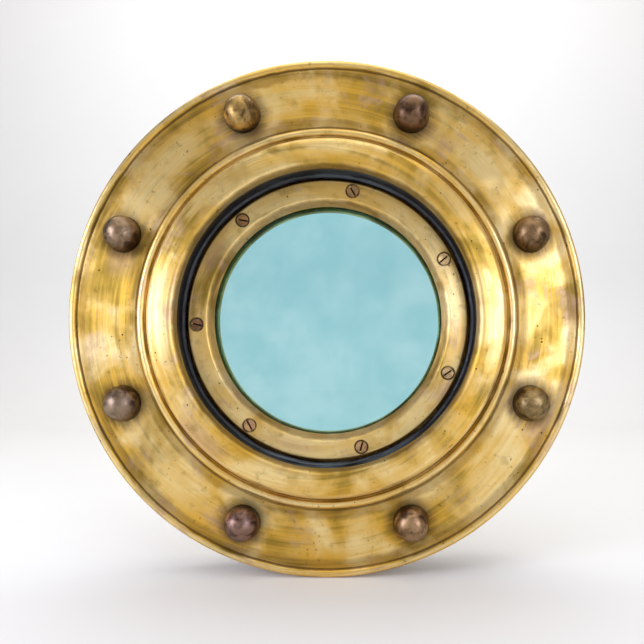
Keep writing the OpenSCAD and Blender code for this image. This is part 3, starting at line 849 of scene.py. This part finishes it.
def keeper_pin(name, place):
    """A short pin with peened ends across a dog's tip."""
    bm = bmesh.new()
    outline = rounded([(0, -6.5), (1.25, -6.3, 0.4), (1.12, -5.2, 0.5), (1.12, 5.2, 0.5),
                       (1.25, 6.3, 0.4), (0, 6.5)], 4)
    lathe_solid(bm, resample(outline, 1.0, closed=False), 32, place @ shift(0, KEEPER_Y, 0) @ ON_END)
    return make_object(name, bm, 50)


# ---------------------------------------------------------------- node tools

class Graph:
    """A material's node tree, with short calls for the nodes that the materials here use."""

    def __init__(self, name, seed=0.0):
        self.mat = bpy.data.materials.new(name)
        self.mat.use_nodes = True
        self.tree = self.mat.node_tree
        self.tree.nodes.clear()
        self.out = self.tree.nodes.new("ShaderNodeOutputMaterial")
        coords = self.tree.nodes.new("ShaderNodeTexCoord")
        split = self.tree.nodes.new("ShaderNodeSeparateXYZ")
        self.tree.links.new(coords.outputs["Object"], split.inputs[0])
        self.x, self.y, self.z = split.outputs
        self.place = self.add(coords.outputs["Object"], (seed * 0.37, seed * 0.11, seed * 0.23))

    def put(self, socket, value):
        """Links a socket to another node's output, or sets it to a constant."""
        if isinstance(value, bpy.types.NodeSocket):
            self.tree.links.new(value, socket)
        else:
            socket.default_value = value

    def node(self, kind, settings=(), **inputs):
        """A node of a kind with its settings and inputs; underscores in input names are spaces."""
        n = self.tree.nodes.new(kind)
        for key, value in dict(settings).items():
            setattr(n, key, value)
        for key, value in inputs.items():
            self.put(n.inputs[key.replace("_", " ")], value)
        return n

    def math(self, op, a, b=0.0, c=0.0, clamp=False):
        n = self.tree.nodes.new("ShaderNodeMath")
        n.operation = op
        n.use_clamp = clamp
        for socket, value in zip(n.inputs, (a, b, c)):
            self.put(socket, value)
        return n.outputs[0]

    def times(self, *values):
        out = values[0]
        for value in values[1:]:
            out = self.math("MULTIPLY", out, value)
        return out

    def add(self, a, b):
        n = self.tree.nodes.new("ShaderNodeVectorMath")
        self.put(n.inputs[0], a)
        self.put(n.inputs[1], b)
        return n.outputs[0]

    def vector(self, x, y, z):
        n = self.tree.nodes.new("ShaderNodeCombineXYZ")
        for socket, value in zip(n.inputs, (x, y, z)):
            self.put(socket, value)
        return n.outputs[0]

    def mix(self, fac, a, b, blend="MIX"):
        """Colour a turned into colour b by a factor; either may be a constant."""
        n = self.tree.nodes.new("ShaderNodeMix")
        n.data_type = "RGBA"
        n.blend_type = blend
        self.put(n.inputs[0], fac)
        self.put(n.inputs[6], a if isinstance(a, bpy.types.NodeSocket) else (*a, 1.0))
        self.put(n.inputs[7], b if isinstance(b, bpy.types.NodeSocket) else (*b, 1.0))
        return n.outputs[2]

    def noise(self, vec, scale=1.0, detail=3.0, rough=0.5, distort=0.0):
        n = self.node("ShaderNodeTexNoise", Vector=vec, Scale=scale, Detail=detail, Roughness=rough,
                      Distortion=distort)
        return n.outputs["Fac"]

    def span(self, value, low, high, to_low=0.0, to_high=1.0):
        """Maps low..high smoothly to to_low..to_high, clamped."""
        n = self.tree.nodes.new("ShaderNodeMapRange")
        n.interpolation_type = "SMOOTHSTEP"
        for socket, v in zip(n.inputs, (value, low, high, to_low, to_high)):
            self.put(socket, v)
        return n.outputs[0]

    def band(self, value, centre, width):
        """1 near the centre, falling to 0 at width from it."""
        off = self.math("ABSOLUTE", self.math("SUBTRACT", value, centre))
        return self.span(off, 0.3 * width, width, 1.0, 0.0)

    def polar(self):
        """(radius from the port's axis, unit x, unit z) of the shaded point."""
        r = self.math("SQRT", self.math("ADD", self.times(self.x, self.x), self.times(self.z, self.z)))
        safe = self.math("MAXIMUM", r, 0.001)
        return r, self.math("DIVIDE", self.x, safe), self.math("DIVIDE", self.z, safe)

    def round_noise(self, r, ux, uz, across, along, seed=0.0, detail=4.0, rough=0.6):
        """Noise in streaks round the port: across per metre of radius and depth, along per radian."""
        first = self.vector(self.times(r, across), self.math("MULTIPLY_ADD", self.y, across, seed), seed)
        second = self.vector(self.times(ux, along), 0.0, self.times(uz, along))
        return self.noise(self.add(first, second), 1.0, detail, rough)

    def bump(self, height, distance, strength=1.0, normal=None):
        n = self.node("ShaderNodeBump", Height=height, Distance=distance, Strength=strength)
        if normal is not None:
            self.tree.links.new(normal, n.inputs["Normal"])
        return n.outputs[0]

    def shader(self, **inputs):
        """Ends the graph in a Principled BSDF and returns the material."""
        n = self.tree.nodes.new("ShaderNodeBsdfPrincipled")
        for key, value in inputs.items():
            name = key.replace("_", " ")
            if name == "Base Color" and not isinstance(value, bpy.types.NodeSocket):
                value = (*value, 1.0)
            self.put(n.inputs[name], value)
        self.tree.links.new(n.outputs[0], self.out.inputs["Surface"])
        return self.mat


# ---------------------------------------------------------------- materials

GOLD = (0.76, 0.445, 0.066)
PALE_GOLD = (0.90, 0.69, 0.31)
OLIVE = (0.34, 0.220, 0.034)
BROWN = (0.12, 0.066, 0.022)
ROSE = (0.60, 0.39, 0.235)
# Dark grime in pits and grain; the same colour is also painted shade round the screw heads, at the feet of
# the domes and on the walls of the screw slots.
GRIME_AND_SHADE = (0.03, 0.021, 0.012)

# Each bolt and screw has its own tarnish: a factor on the shared bronze or brass.
BOLT_TONES = [(0.87, 0.82, 0.75, 1), (0.60, 0.52, 0.55, 1), (1.50, 1.48, 0.95, 1), (0.96, 1.00, 1.16, 1),
              (0.92, 1.00, 1.27, 1), (0.87, 0.80, 1.14, 1), (1.25, 1.20, 1.20, 1), (1.10, 1.17, 0.93, 1)]
SCREW_TONES = [(0.62, 0.50, 0.42, 1), (1.15, 1.10, 0.95, 1), (1.10, 1.05, 0.90, 1), (0.70, 0.55, 0.50, 1),
               (0.90, 0.72, 0.70, 1), (0.50, 0.38, 0.42, 1), (0.62, 0.47, 0.38, 1)]


def spot_distance(g, r, circle, count, first):
    """Distance, in metres, from the shaded point to the nearest of count axes on a circle in mm."""
    step = 2 * math.pi / count
    angle = g.math("SUBTRACT", g.math("ARCTAN2", g.z, g.x), math.radians(first) - 4 * math.pi - step / 2)
    local = g.math("SUBTRACT", g.math("MODULO", angle, step), step / 2)
    dx = g.math("SUBTRACT", g.times(r, g.math("COSINE", local)), circle * MM)
    dz = g.times(r, g.math("SINE", local))
    return g.math("SQRT", g.math("ADD", g.times(dx, dx), g.times(dz, dz)))


def patches(g, r, ragged, places):
    """1 on soft-edged patches: places are (angle above +X, radius, half length, half width, strength)."""
    out = 0.0
    for angle, radius, along, across, strength in places:
        c, s = math.cos(math.radians(angle)), math.sin(math.radians(angle))
        side = g.times(g.math("SUBTRACT", g.times(g.z, c), g.times(g.x, s)), 1 / (along * MM))
        depth = g.times(g.math("SUBTRACT", r, radius * MM), 1 / (across * MM))
        ahead = g.math("GREATER_THAN", g.math("ADD", g.times(g.x, c), g.times(g.z, s)), 0.0)
        away = g.math("SQRT", g.math("ADD", g.times(side, side), g.times(depth, depth)))
        away = g.math("MULTIPLY_ADD", g.math("SUBTRACT", ragged, 0.5), 1.3, away)
        out = g.math("MAXIMUM", out, g.times(g.span(away, 0.25, 1.15, strength, 0.0), ahead))
    return out


def brass_polish_and_highlight(g, r, mid, cloud, ridges, rubs_and_highlights, painted_brightening):
    """How pale and polished the brass is made, 0 to 1: rubbed in clouds and along the ridges, on patches that
    are partly rubbed metal and partly painted highlight, and lifted overall by a painted brightening.
    """
    polish_and_highlight = g.times(g.span(cloud, 0.36, 0.70), g.span(mid, 0.30, 0.62, 0.35, 1.0), 1.15)
    # painted light: a flat lift that makes the whole part paler, against the shade it sits in
    polish_and_highlight = g.math("ADD", polish_and_highlight, painted_brightening)
    # painted highlight: some of these patches stand for the highlights that the collar's crown catches
    if rubs_and_highlights:
        rubbed = g.times(patches(g, r, cloud, rubs_and_highlights), g.span(mid, 0.25, 0.6, 0.6, 1.0))
        polish_and_highlight = g.math("MAXIMUM", polish_and_highlight, rubbed)
    for radius, width in ridges:
        edge = g.times(g.band(r, radius * MM, width * MM), g.span(mid, 0.3, 0.6))
        polish_and_highlight = g.math("MAXIMUM", polish_and_highlight, edge)
    return g.math("MINIMUM", polish_and_highlight, 1.0)


def brass_dirt_and_shade(g, r, mid, broad, smudge, shaded_creases, dull):
    """How dark the brass is made, 0 to 1: thin dirt in general, and painted shade with dirt in the creases.
    """
    dirt_and_shade = g.times(g.span(broad, 0.52, 0.72), 0.22 + dull)
    # painted shade: each crease darkens a band of radius where shade falls in a groove or on a rounded edge,
    # mixed with dirt
    for radius, width, strength in shaded_creases:
        ragged = g.math("MULTIPLY_ADD", g.math("SUBTRACT", smudge, 0.5), width * MM * 0.9, r)
        near = g.times(g.band(ragged, radius * MM, width * MM), strength)
        dirt_and_shade = g.math("MAXIMUM", dirt_and_shade, g.times(near, g.span(mid, 0.25, 0.5, 0.6, 1.0)))
    return dirt_and_shade


def aged_brass(name, shaded_creases=(), ridges=(), rubs_and_highlights=(), blushes=(), bolts=False, screws=False,
               dull=0.0, painted_brightening=0.0, seed=0.0, rose=1.0, wave=1.0):
    """Brushed, unevenly polished old brass.

    shaded_creases are (radius, width, strength) of grooves and rounded edges darkened with painted shade and
    dirt, and ridges are (radius, width) of rubbed edges, in mm from the port's axis.  rubs_and_highlights are
    patches of pale metal, partly rubbed and partly painted highlight, and blushes are patches of rosy metal.
    """
    g = Graph(name, seed)
    r, ux, uz = g.polar()
    fine = g.round_noise(r, ux, uz, 1900, 9.0, seed, 5.0, 0.65)
    mid = g.round_noise(r, ux, uz, 240, 2.6, seed + 4.0)
    broad = g.noise(g.place, 15.0, 3.0, 0.55, 0.7)
    cloud = g.noise(g.place, 26.0, 4.0, 0.5, 0.4)
    smudge = g.noise(g.place, 90.0, 4.0, 0.6, 0.2)
    spots = g.noise(g.place, 260.0, 3.0, 0.6)

    polish_and_highlight = brass_polish_and_highlight(g, r, mid, cloud, ridges, rubs_and_highlights, painted_brightening)
    colour = g.mix(polish_and_highlight, GOLD, PALE_GOLD)
    tone = g.math("MULTIPLY_ADD", mid, 0.5, g.times(broad, 0.5))
    tone = g.math("MULTIPLY_ADD", polish_and_highlight, -0.15, g.math("ADD", tone, 0.03))
    colour = g.mix(g.span(tone, 0.42 - 0.1 * dull, 0.64 - 0.1 * dull, 0.0, 1.0), colour, OLIVE)
    blush = g.times(g.span(g.noise(g.place, 21.0, 4.0, 0.6, 1.2), 0.53, 0.66), g.span(mid, 0.38, 0.58))
    if blushes:
        rosy = g.times(patches(g, r, cloud, blushes), g.span(fine, 0.3, 0.6, 0.5, 1.0))
        blush = g.math("MAXIMUM", blush, rosy)
    colour = g.mix(g.times(blush, 0.7 * rose), colour, ROSE)
    colour = g.mix(g.span(smudge, 0.56, 0.74, 0.0, 0.4), colour, OLIVE)
    colour = g.mix(g.span(spots, 0.64, 0.74, 0.0, 0.55), colour, BROWN)
    colour = g.mix(g.span(fine, 0.52, 0.78, 0.0, 0.42), colour, OLIVE)

    dirt_and_shade = brass_dirt_and_shade(g, r, mid, broad, smudge, shaded_creases, dull)
    if bolts:
        axes = spot_distance(g, r, BOLT_CIRCLE, BOLT_COUNT, 180 / BOLT_COUNT)
        away = g.math("MULTIPLY_ADD", g.math("SUBTRACT", smudge, 0.5), 0.010, axes)
        halo = g.times(g.span(away, 0.0135, 0.0250, 0.8, 0.0), g.span(mid, 0.3, 0.55, 0.5, 1.0))
        dirt_and_shade = g.math("MAXIMUM", dirt_and_shade, halo)
        colour = g.mix(g.times(g.band(away, 0.0260, 0.006), g.span(cloud, 0.42, 0.6), 0.4), colour, PALE_GOLD)
    # dirt, and the painted shade of the creases, laid on in brown
    colour = g.mix(g.times(dirt_and_shade, 0.85), colour, BROWN)
    if screws:
        # painted shade: a dark ring round each screw head, at the rim of its countersink
        edge = g.band(spot_distance(g, r, SCREW_CIRCLE, SCREW_COUNT, FIRST_SCREW), 0.0050, 0.0012)
        colour = g.mix(g.times(edge, g.span(smudge, 0.3, 0.5, 0.6, 0.95)), colour, GRIME_AND_SHADE)

    cells = g.node("ShaderNodeTexVoronoi", {"feature": "F1"}, Vector=g.place, Scale=130.0)
    pit = g.times(g.span(cells.outputs["Distance"], 0.05, 0.11, 1.0, 0.0),
                  g.span(g.noise(g.place, 60.0, 1.0), 0.56, 0.6))
    colour = g.mix(g.times(pit, 0.85), colour, GRIME_AND_SHADE)

    rough = g.math("MULTIPLY_ADD", fine, 0.18, 0.24 + 0.08 * dull)
    rough = g.math("MULTIPLY_ADD", smudge, 0.16, rough)
    rough = g.math("MULTIPLY_ADD", polish_and_highlight, -0.08, rough)
    rough = g.math("MULTIPLY_ADD", dirt_and_shade, 0.3, rough, clamp=True)
    height = g.bump(g.noise(g.place, 24.0, 2.0, 0.5, 0.4), 0.0012 * wave)
    height = g.bump(mid, 0.00022, 1.0, height)
    height = g.bump(fine, 0.00004, 1.0, height)
    height = g.bump(g.math("MULTIPLY", pit, -1.0), 0.0004, 1.0, height)
    tangent = g.node("ShaderNodeTangent", {"direction_type": "RADIAL", "axis": "Y"}).outputs[0]
    return g.shader(Base_Color=colour, Metallic=1.0, Roughness=rough, Anisotropic=0.72,
                    Anisotropic_Rotation=0.25, Tangent=tangent, Normal=height)


def small_bronze(name, light, dark, seed=0.0, rough=0.3, tinted=False, rubbed=None, slot_shade=None, wave=1.0):
    """Tarnished metal of the small fittings, with rubbed high spots, painted shade at the foot of a dome and
    painted shade in slots.

    rubbed is (y at the foot, y at the rubbed top): lighter toward the top as rubbed wear, and darker down the
    lower half to the foot as painted shade.  slot_shade is the (first, last) y over which the walls of a slot
    are painted black as shade, in mm.
    """
    g = Graph(name, seed)
    cloud = g.noise(g.place, 120.0, 4.0, 0.62, 0.6)
    patch = g.noise(g.place, 46.0, 3.0, 0.55, 0.4)
    grain = g.noise(g.place, 950.0, 3.0, 0.6)
    scratch = g.noise(g.node("ShaderNodeMapping", Vector=g.place, Rotation=(0.4, 0.9, 0.2),
                             Scale=(2600, 260, 260)).outputs[0], 1.0, 3.0, 0.6)
    worn = g.math("MULTIPLY_ADD", patch, 0.4, g.times(cloud, 0.6))
    if rubbed:
        # rubbed wear: a little lighter toward the top
        height = g.math("DIVIDE", g.math("SUBTRACT", g.y, rubbed[0] * MM), (rubbed[1] - rubbed[0]) * MM)
        outside = g.span(height, -0.5, -0.4)
        worn = g.math("MULTIPLY_ADD", g.times(outside, g.math("SUBTRACT", height, 0.5)), 0.16, worn)
    colour = g.mix(g.span(worn, 0.40, 0.62), dark, light)
    colour = g.mix(g.span(scratch, 0.6, 0.72, 0.0, 0.35), colour, light)
    colour = g.mix(g.span(grain, 0.58, 0.75, 0.0, 0.55), colour, GRIME_AND_SHADE)
    if tinted:
        tint = g.node("ShaderNodeAttribute", {"attribute_name": "tint"}).outputs["Color"]
        colour = g.mix(1.0, colour, tint, "MULTIPLY")
    # painted shade: the lower half of a dome darkens to black toward its foot on the flange
    if rubbed:
        foot = g.math("MULTIPLY_ADD", g.math("SUBTRACT", cloud, 0.5), 0.22, height)
        colour = g.mix(g.times(outside, g.span(foot, 0.12, 0.50, 0.97, 0.0)), colour, GRIME_AND_SHADE)
    if slot_shade:
        # painted shade: the walls of each screw slot darken to black, standing for the shade in the slot
        colour = g.mix(g.span(g.y, slot_shade[0] * MM, slot_shade[1] * MM), colour, GRIME_AND_SHADE)
    value = g.math("MULTIPLY_ADD", cloud, 0.22, rough - 0.11)
    bumps = g.bump(g.noise(g.place, 90.0, 2.0), 0.0005 * wave)
    bumps = g.bump(cloud, 0.00012, 1.0, bumps)
    bumps = g.bump(grain, 0.00004, 1.0, bumps)
    return g.shader(Base_Color=colour, Metallic=1.0, Roughness=value, Normal=bumps)


def black_rubber(name, base, gloss=True, seed=0.0):
    """Old rubber, wet-looking or matt, with a painted blue-grey reflection in bands at the bottom and top of
    the ring.
    """
    g = Graph(name, seed)
    r, ux, uz = g.polar()
    streak = g.round_noise(r, ux, uz, 420, 4.0, seed)
    lumps = g.noise(g.place, 160.0, 3.0, 0.6)
    specks = g.noise(g.place, 700.0, 2.0, 0.5)
    # painted reflection of the light above, as a blue-grey film in bands at the bottom and the top of the
    # ring
    low = g.span(uz, -0.98, -0.72, 1.0, 0.12)
    high = g.span(uz, 0.8, 0.95, 0.0, 0.6)
    reflection_band = g.times(g.span(g.noise(g.place, 24.0, 3.0, 0.5), 0.32, 0.52), g.math("MAXIMUM", low, high))
    painted_reflection = g.times(g.span(streak, 0.36, 0.58), reflection_band)
    colour = g.mix(painted_reflection, base, (0.075, 0.100, 0.115))
    colour = g.mix(g.span(specks, 0.66, 0.74, 0.0, 0.4), colour, (0.10, 0.10, 0.09))
    rough = g.math("MULTIPLY_ADD", lumps, 0.40, 0.22 if gloss else 0.5)
    rough = g.math("MULTIPLY_ADD", painted_reflection, 0.25, rough)
    height = g.bump(lumps, 0.0009 if gloss else 0.0001)
    height = g.bump(streak, 0.0006 if gloss else 0.00005, 1.0, height)
    return g.shader(Base_Color=colour, Roughness=rough, Normal=height, Coat_Weight=0.3 if gloss else 0.0,
                    Coat_Roughness=0.15, IOR=1.5)


def clear_glass(name):
    """Plate glass with a sea tint, a little salt haze and fine rubbing marks."""
    g = Graph(name)
    haze = g.noise(g.place, 30.0, 4.0, 0.6)
    marks = g.noise(g.vector(g.times(g.x, 900), g.times(g.z, 90), g.y), 1.0, 4.0)
    rough = g.times(g.span(haze, 0.5, 0.75), 0.05)
    tint = g.mix(g.span(haze, 0.35, 0.7), (0.30, 0.62, 0.67), (0.40, 0.70, 0.74))
    return g.shader(Base_Color=tint, Roughness=rough, IOR=1.5, Transmission_Weight=1.0,
                    Normal=g.bump(marks, 0.000002, 0.2))


def plain_stage(name, colour):
    """Pale matt paint for the floor and backdrop."""
    g = Graph(name)
    shade = g.mix(g.noise(g.place, 6.0, 2.0), colour, tuple(0.97 * c for c in colour))
    return g.shader(Base_Color=shade, Roughness=0.7)


flange_brass = aged_brass(
    "flange_brass",
    # painted shade with dirt in the grooves and on the collar's rounded inner edge
    shaded_creases=[(147.3, 2.2, 0.85), (138.7, 1.1, 0.8), (193.4, 1.4, 0.9), (114.6, 3.6, 0.8),
             (151, 6.0, 0.42), (189.5, 5.5, 0.46)],
    ridges=[(196.8, 2.4), (142.9, 2.6), (136.2, 2.2), (199.7, 0.7)],
    # the patches on the collar's crown, at radius 127 to 131, are painted highlight along the crown
    rubs_and_highlights=[(45, 170, 42, 17, 1.0), (135, 172, 45, 16, 0.9), (-135, 172, 42, 18, 0.75),
          (-45, 172, 28, 14, 0.6), (88, 131, 40, 9, 1.0), (135, 131, 34, 9, 0.85),
          (42, 131, 26, 8, 0.6), (180, 127, 50, 12, 1.0), (0, 130, 50, 9, 0.8)],
    blushes=[(-137, 131, 30, 9, 0.9), (163, 166, 16, 12, 0.6), (62, 164, 15, 11, 0.6),
             (-20, 158, 16, 8, 0.5)],
    bolts=True)
# The bezel is made paler overall as painted light, against the shade of the collar round it.
bezel_brass = aged_brass(
    "bezel_brass",
    shaded_creases=[(92.4, 4.4, 0.72), (110.4, 1.3, 0.8)],
    ridges=[(109.0, 1.0)],
    rubs_and_highlights=[(20, 104, 40, 8, 1.0), (-165, 104, 20, 6, 0.7), (60, 104, 22, 6, 0.7)],
    blushes=[(-105, 103, 30, 7, 0.7), (150, 103, 18, 6, 0.7)],
    screws=True, painted_brightening=0.35, seed=3.0, rose=1.2, wave=0.6)
frame_brass = aged_brass(
    "frame_brass", shaded_creases=[(136.5, 4.0, 0.8)], ridges=[(188, 2.5)], bolts=True, dull=0.12, seed=7.0)
glass_frame_brass = aged_brass(
    "glass_frame_brass", shaded_creases=[(98.5, 2.5, 0.7)], ridges=[(131.5, 2.5), (101, 1.5)], dull=0.06, seed=11.0)
# domes: painted shade over their lower halves and feet
bolt_bronze = small_bronze("bolt_bronze", (0.30, 0.195, 0.100), (0.062, 0.036, 0.021), tinted=True,
                           rough=0.40, rubbed=(-FLANGE_T, -FLANGE_T - DOME_H))
pin_bronze = small_bronze("pin_bronze", (0.50, 0.32, 0.15), (0.22, 0.13, 0.06), seed=2.0)
fixing_brass = small_bronze("fixing_brass", (0.66, 0.45, 0.16), (0.33, 0.21, 0.07), seed=4.0)
# screw slots get painted shade on their walls
screw_brass = small_bronze("screw_brass", (0.78, 0.58, 0.30), (0.42, 0.29, 0.17), seed=5.0, tinted=True,
                           slot_shade=(1.30, 1.75), wave=0.5)
dog_bronze = small_bronze("dog_bronze", (0.58, 0.39, 0.16), (0.27, 0.17, 0.07), seed=6.0)
wing_brass = small_bronze("wing_nut_brass", (0.74, 0.50, 0.17), (0.36, 0.23, 0.08), seed=8.0)
seal_rubber = black_rubber("seal_rubber", (0.0045, 0.0045, 0.006))
gasket_rubber = black_rubber("gasket_rubber", (0.060, 0.048, 0.028), gloss=False, seed=2.0)
glass = clear_glass("clear_glass")


# ---------------------------------------------------------------- the port, piece by piece

stand_in(outer_flange(), "outer_flange", flange_brass)
stand_in(flange_bolts(), "flange_bolts", bolt_bronze)
stand_in(throat_seal(), "throat_seal", seal_rubber)
stand_in(bezel_ring(), "bezel_ring", bezel_brass)
stand_in(bezel_screws(), "bezel_screws", screw_brass)
stand_in(glass_pane(), "glass_pane", glass)
front_ring = rubber_ring("front_glazing_ring", 92, 97, 6, GLASS_FRONT_Y, 0.7, 0.25)
rear_ring = rubber_ring("rear_glazing_ring", 93.4, 97, GLASS_BACK_Y, 20, 0.5, 0.2)
stand_in(front_ring, "front_glazing_seal", gasket_rubber)
stand_in(rear_ring, "rear_glazing_seal", gasket_rubber)
stand_in(rubber_ring("frame_gasket", 123, 131, 38, 41.5, 1.0, 0.25), "main_gasket", gasket_rubber)
stand_in(main_frame(), "main_frame", frame_brass)
stand_in(glass_frame(), "glass_frame", glass_frame_brass)
stand_in(washers("flange_bolt_washers", at_bolts(), 6.5, 12, FACE_Y, FACE_Y + WASHER_T), "flange_washers",
         fixing_brass)
stand_in(flange_nuts(), "flange_nuts", fixing_brass)

at_hinge = Matrix.Translation(HINGE)
lug_top = LUG_MIDDLE + LUG_HALF
stand_in(headed_pins("hinge_pin_turned", [at_hinge], HINGE_PIN_R, 7.5, 3.5, lug_top, -lug_top - 7, 0),
         "hinge_pin", pin_bronze)
stand_in(washers("hinge_pin_washer", [at_hinge @ ON_END], 5.2, 8.5, -lug_top - 1.5, -lug_top), "hinge_washer",
         fixing_brass)
stand_in(split_pins("hinge_pin_split_pin", [at_hinge @ shift(0, 0, -lug_top - 4)], HINGE_PIN_R + 1),
         "hinge_split_pin", fixing_brass)

pivots = [around(a) @ Matrix.Translation(DOG_PIVOT) for a in DOG_ANGLES.values()]
ear_top = EAR_MIDDLE + EAR_HALF
stand_in(headed_pins("dog_pivot_pins", pivots, DOG_PIN_R, 6, 2.5, ear_top, -ear_top - 6.5, -90), "dog_pins",
         pin_bronze)
stand_in(washers("dog_pivot_washers", [p @ ON_END for p in pivots], 4.2, 6.5, -ear_top - 1.2, -ear_top),
         "dog_pin_washers", fixing_brass)
quarter = Matrix.Rotation(math.radians(-90), 4, "Z")
stand_in(split_pins("dog_pivot_split_pins", [p @ shift(0, 0, -ear_top - 3.5) @ quarter for p in pivots],
                    DOG_PIN_R + 1), "dog_split_pins", fixing_brass)

for side, angle in DOG_ANGLES.items():
    place = at_dog(angle)
    stand_in(dog_bolt(f"{side}_swing_bolt", place), f"{side}_dog_bolt", dog_bronze)
    under_nut = washers(f"{side}_swing_washer", [place], SHANK_R + RUNNING_GAP, 11, DOG_WASHER_Y, DOG_NUT_Y)
    stand_in(under_nut, f"{side}_dog_washer", fixing_brass)
    stand_in(wing_nut(f"{side}_winged_nut", place), f"{side}_wing_nut", wing_brass)
    stand_in(keeper_pin(f"{side}_tip_pin", place), f"{side}_keeper_pin", pin_bronze)


# ---------------------------------------------------------------- stage, light and camera

def stage_sweep():
    """A pale floor that curves up into a backdrop."""
    floor_z = cad_box[0].z / MM
    depth, height, bend = 1500.0, 2600.0, 500.0
    line = [(-3200.0, floor_z), (depth - bend, floor_z)]
    line += arc(depth - bend, floor_z + bend, bend, -90, 0, 16)
    line.append((depth, floor_z + height))
    bm = bmesh.new()
    rows = [[bm.verts.new((x, y, z)) for y, z in line] for x in (-4000.0, 4000.0)]
    for j in range(len(line) - 1):
        bm.faces.new((rows[0][j], rows[1][j], rows[1][j + 1], rows[0][j + 1]))
    sweep = make_object("stage_sweep", bm, 60)
    sweep.data.materials.append(plain_stage("stage_pale", (0.80, 0.80, 0.79)))


def soft_light(name, place, target, width, height, power, colour=(1, 1, 1)):
    """A rectangular softbox at a place, aimed at a target."""
    data = bpy.data.lights.new(name, "AREA")
    data.shape = "RECTANGLE"
    data.size = width
    data.size_y = height
    data.energy = power
    data.color = colour
    light = bpy.data.objects.new(name, data)
    light.location = place
    light.rotation_mode = "QUATERNION"
    light.rotation_quaternion = (Vector(target) - Vector(place)).to_track_quat("-Z", "Y")
    bpy.context.scene.collection.objects.link(light)


stage_sweep()
soft_light("left_softbox", (-1.10, -0.75, 0.22), (0, 0, 0), 0.45, 0.7, 8.3, (0.90, 0.97, 1.32))
soft_light("right_softbox", (0.72, -1.10, 0.20), (0, 0, 0), 0.4, 0.6, 4.6, (0.90, 0.97, 1.32))
soft_light("top_softbox", (0.1, -0.6, 1.5), (0, 0, 0), 1.6, 1.2, 8)
soft_light("back_softbox", (0.0, 0.55, 1.7), (0, 0.9, -0.2), 2.4, 0.9, 20)

world = bpy.data.worlds.new("studio")
world.use_nodes = True
world.node_tree.nodes["Background"].inputs["Color"].default_value = (1.0, 0.96, 0.90, 1)
world.node_tree.nodes["Background"].inputs["Strength"].default_value = 0.54
bpy.context.scene.world = world
bpy.context.scene.view_settings.view_transform = "Standard"

camera_data = bpy.data.cameras.new("camera")
camera_data.sensor_width = 36
camera_data.lens = 31.9
camera_data.shift_x = -0.057
camera_data.shift_y = 0.065
camera_data.clip_start = 0.01
camera = bpy.data.objects.new("camera", camera_data)
camera.location = (0.0245, -0.450, -0.0347)
camera.rotation_euler = (math.radians(90), 0, 0)
bpy.context.scene.collection.objects.link(camera)
bpy.context.scene.camera = camera
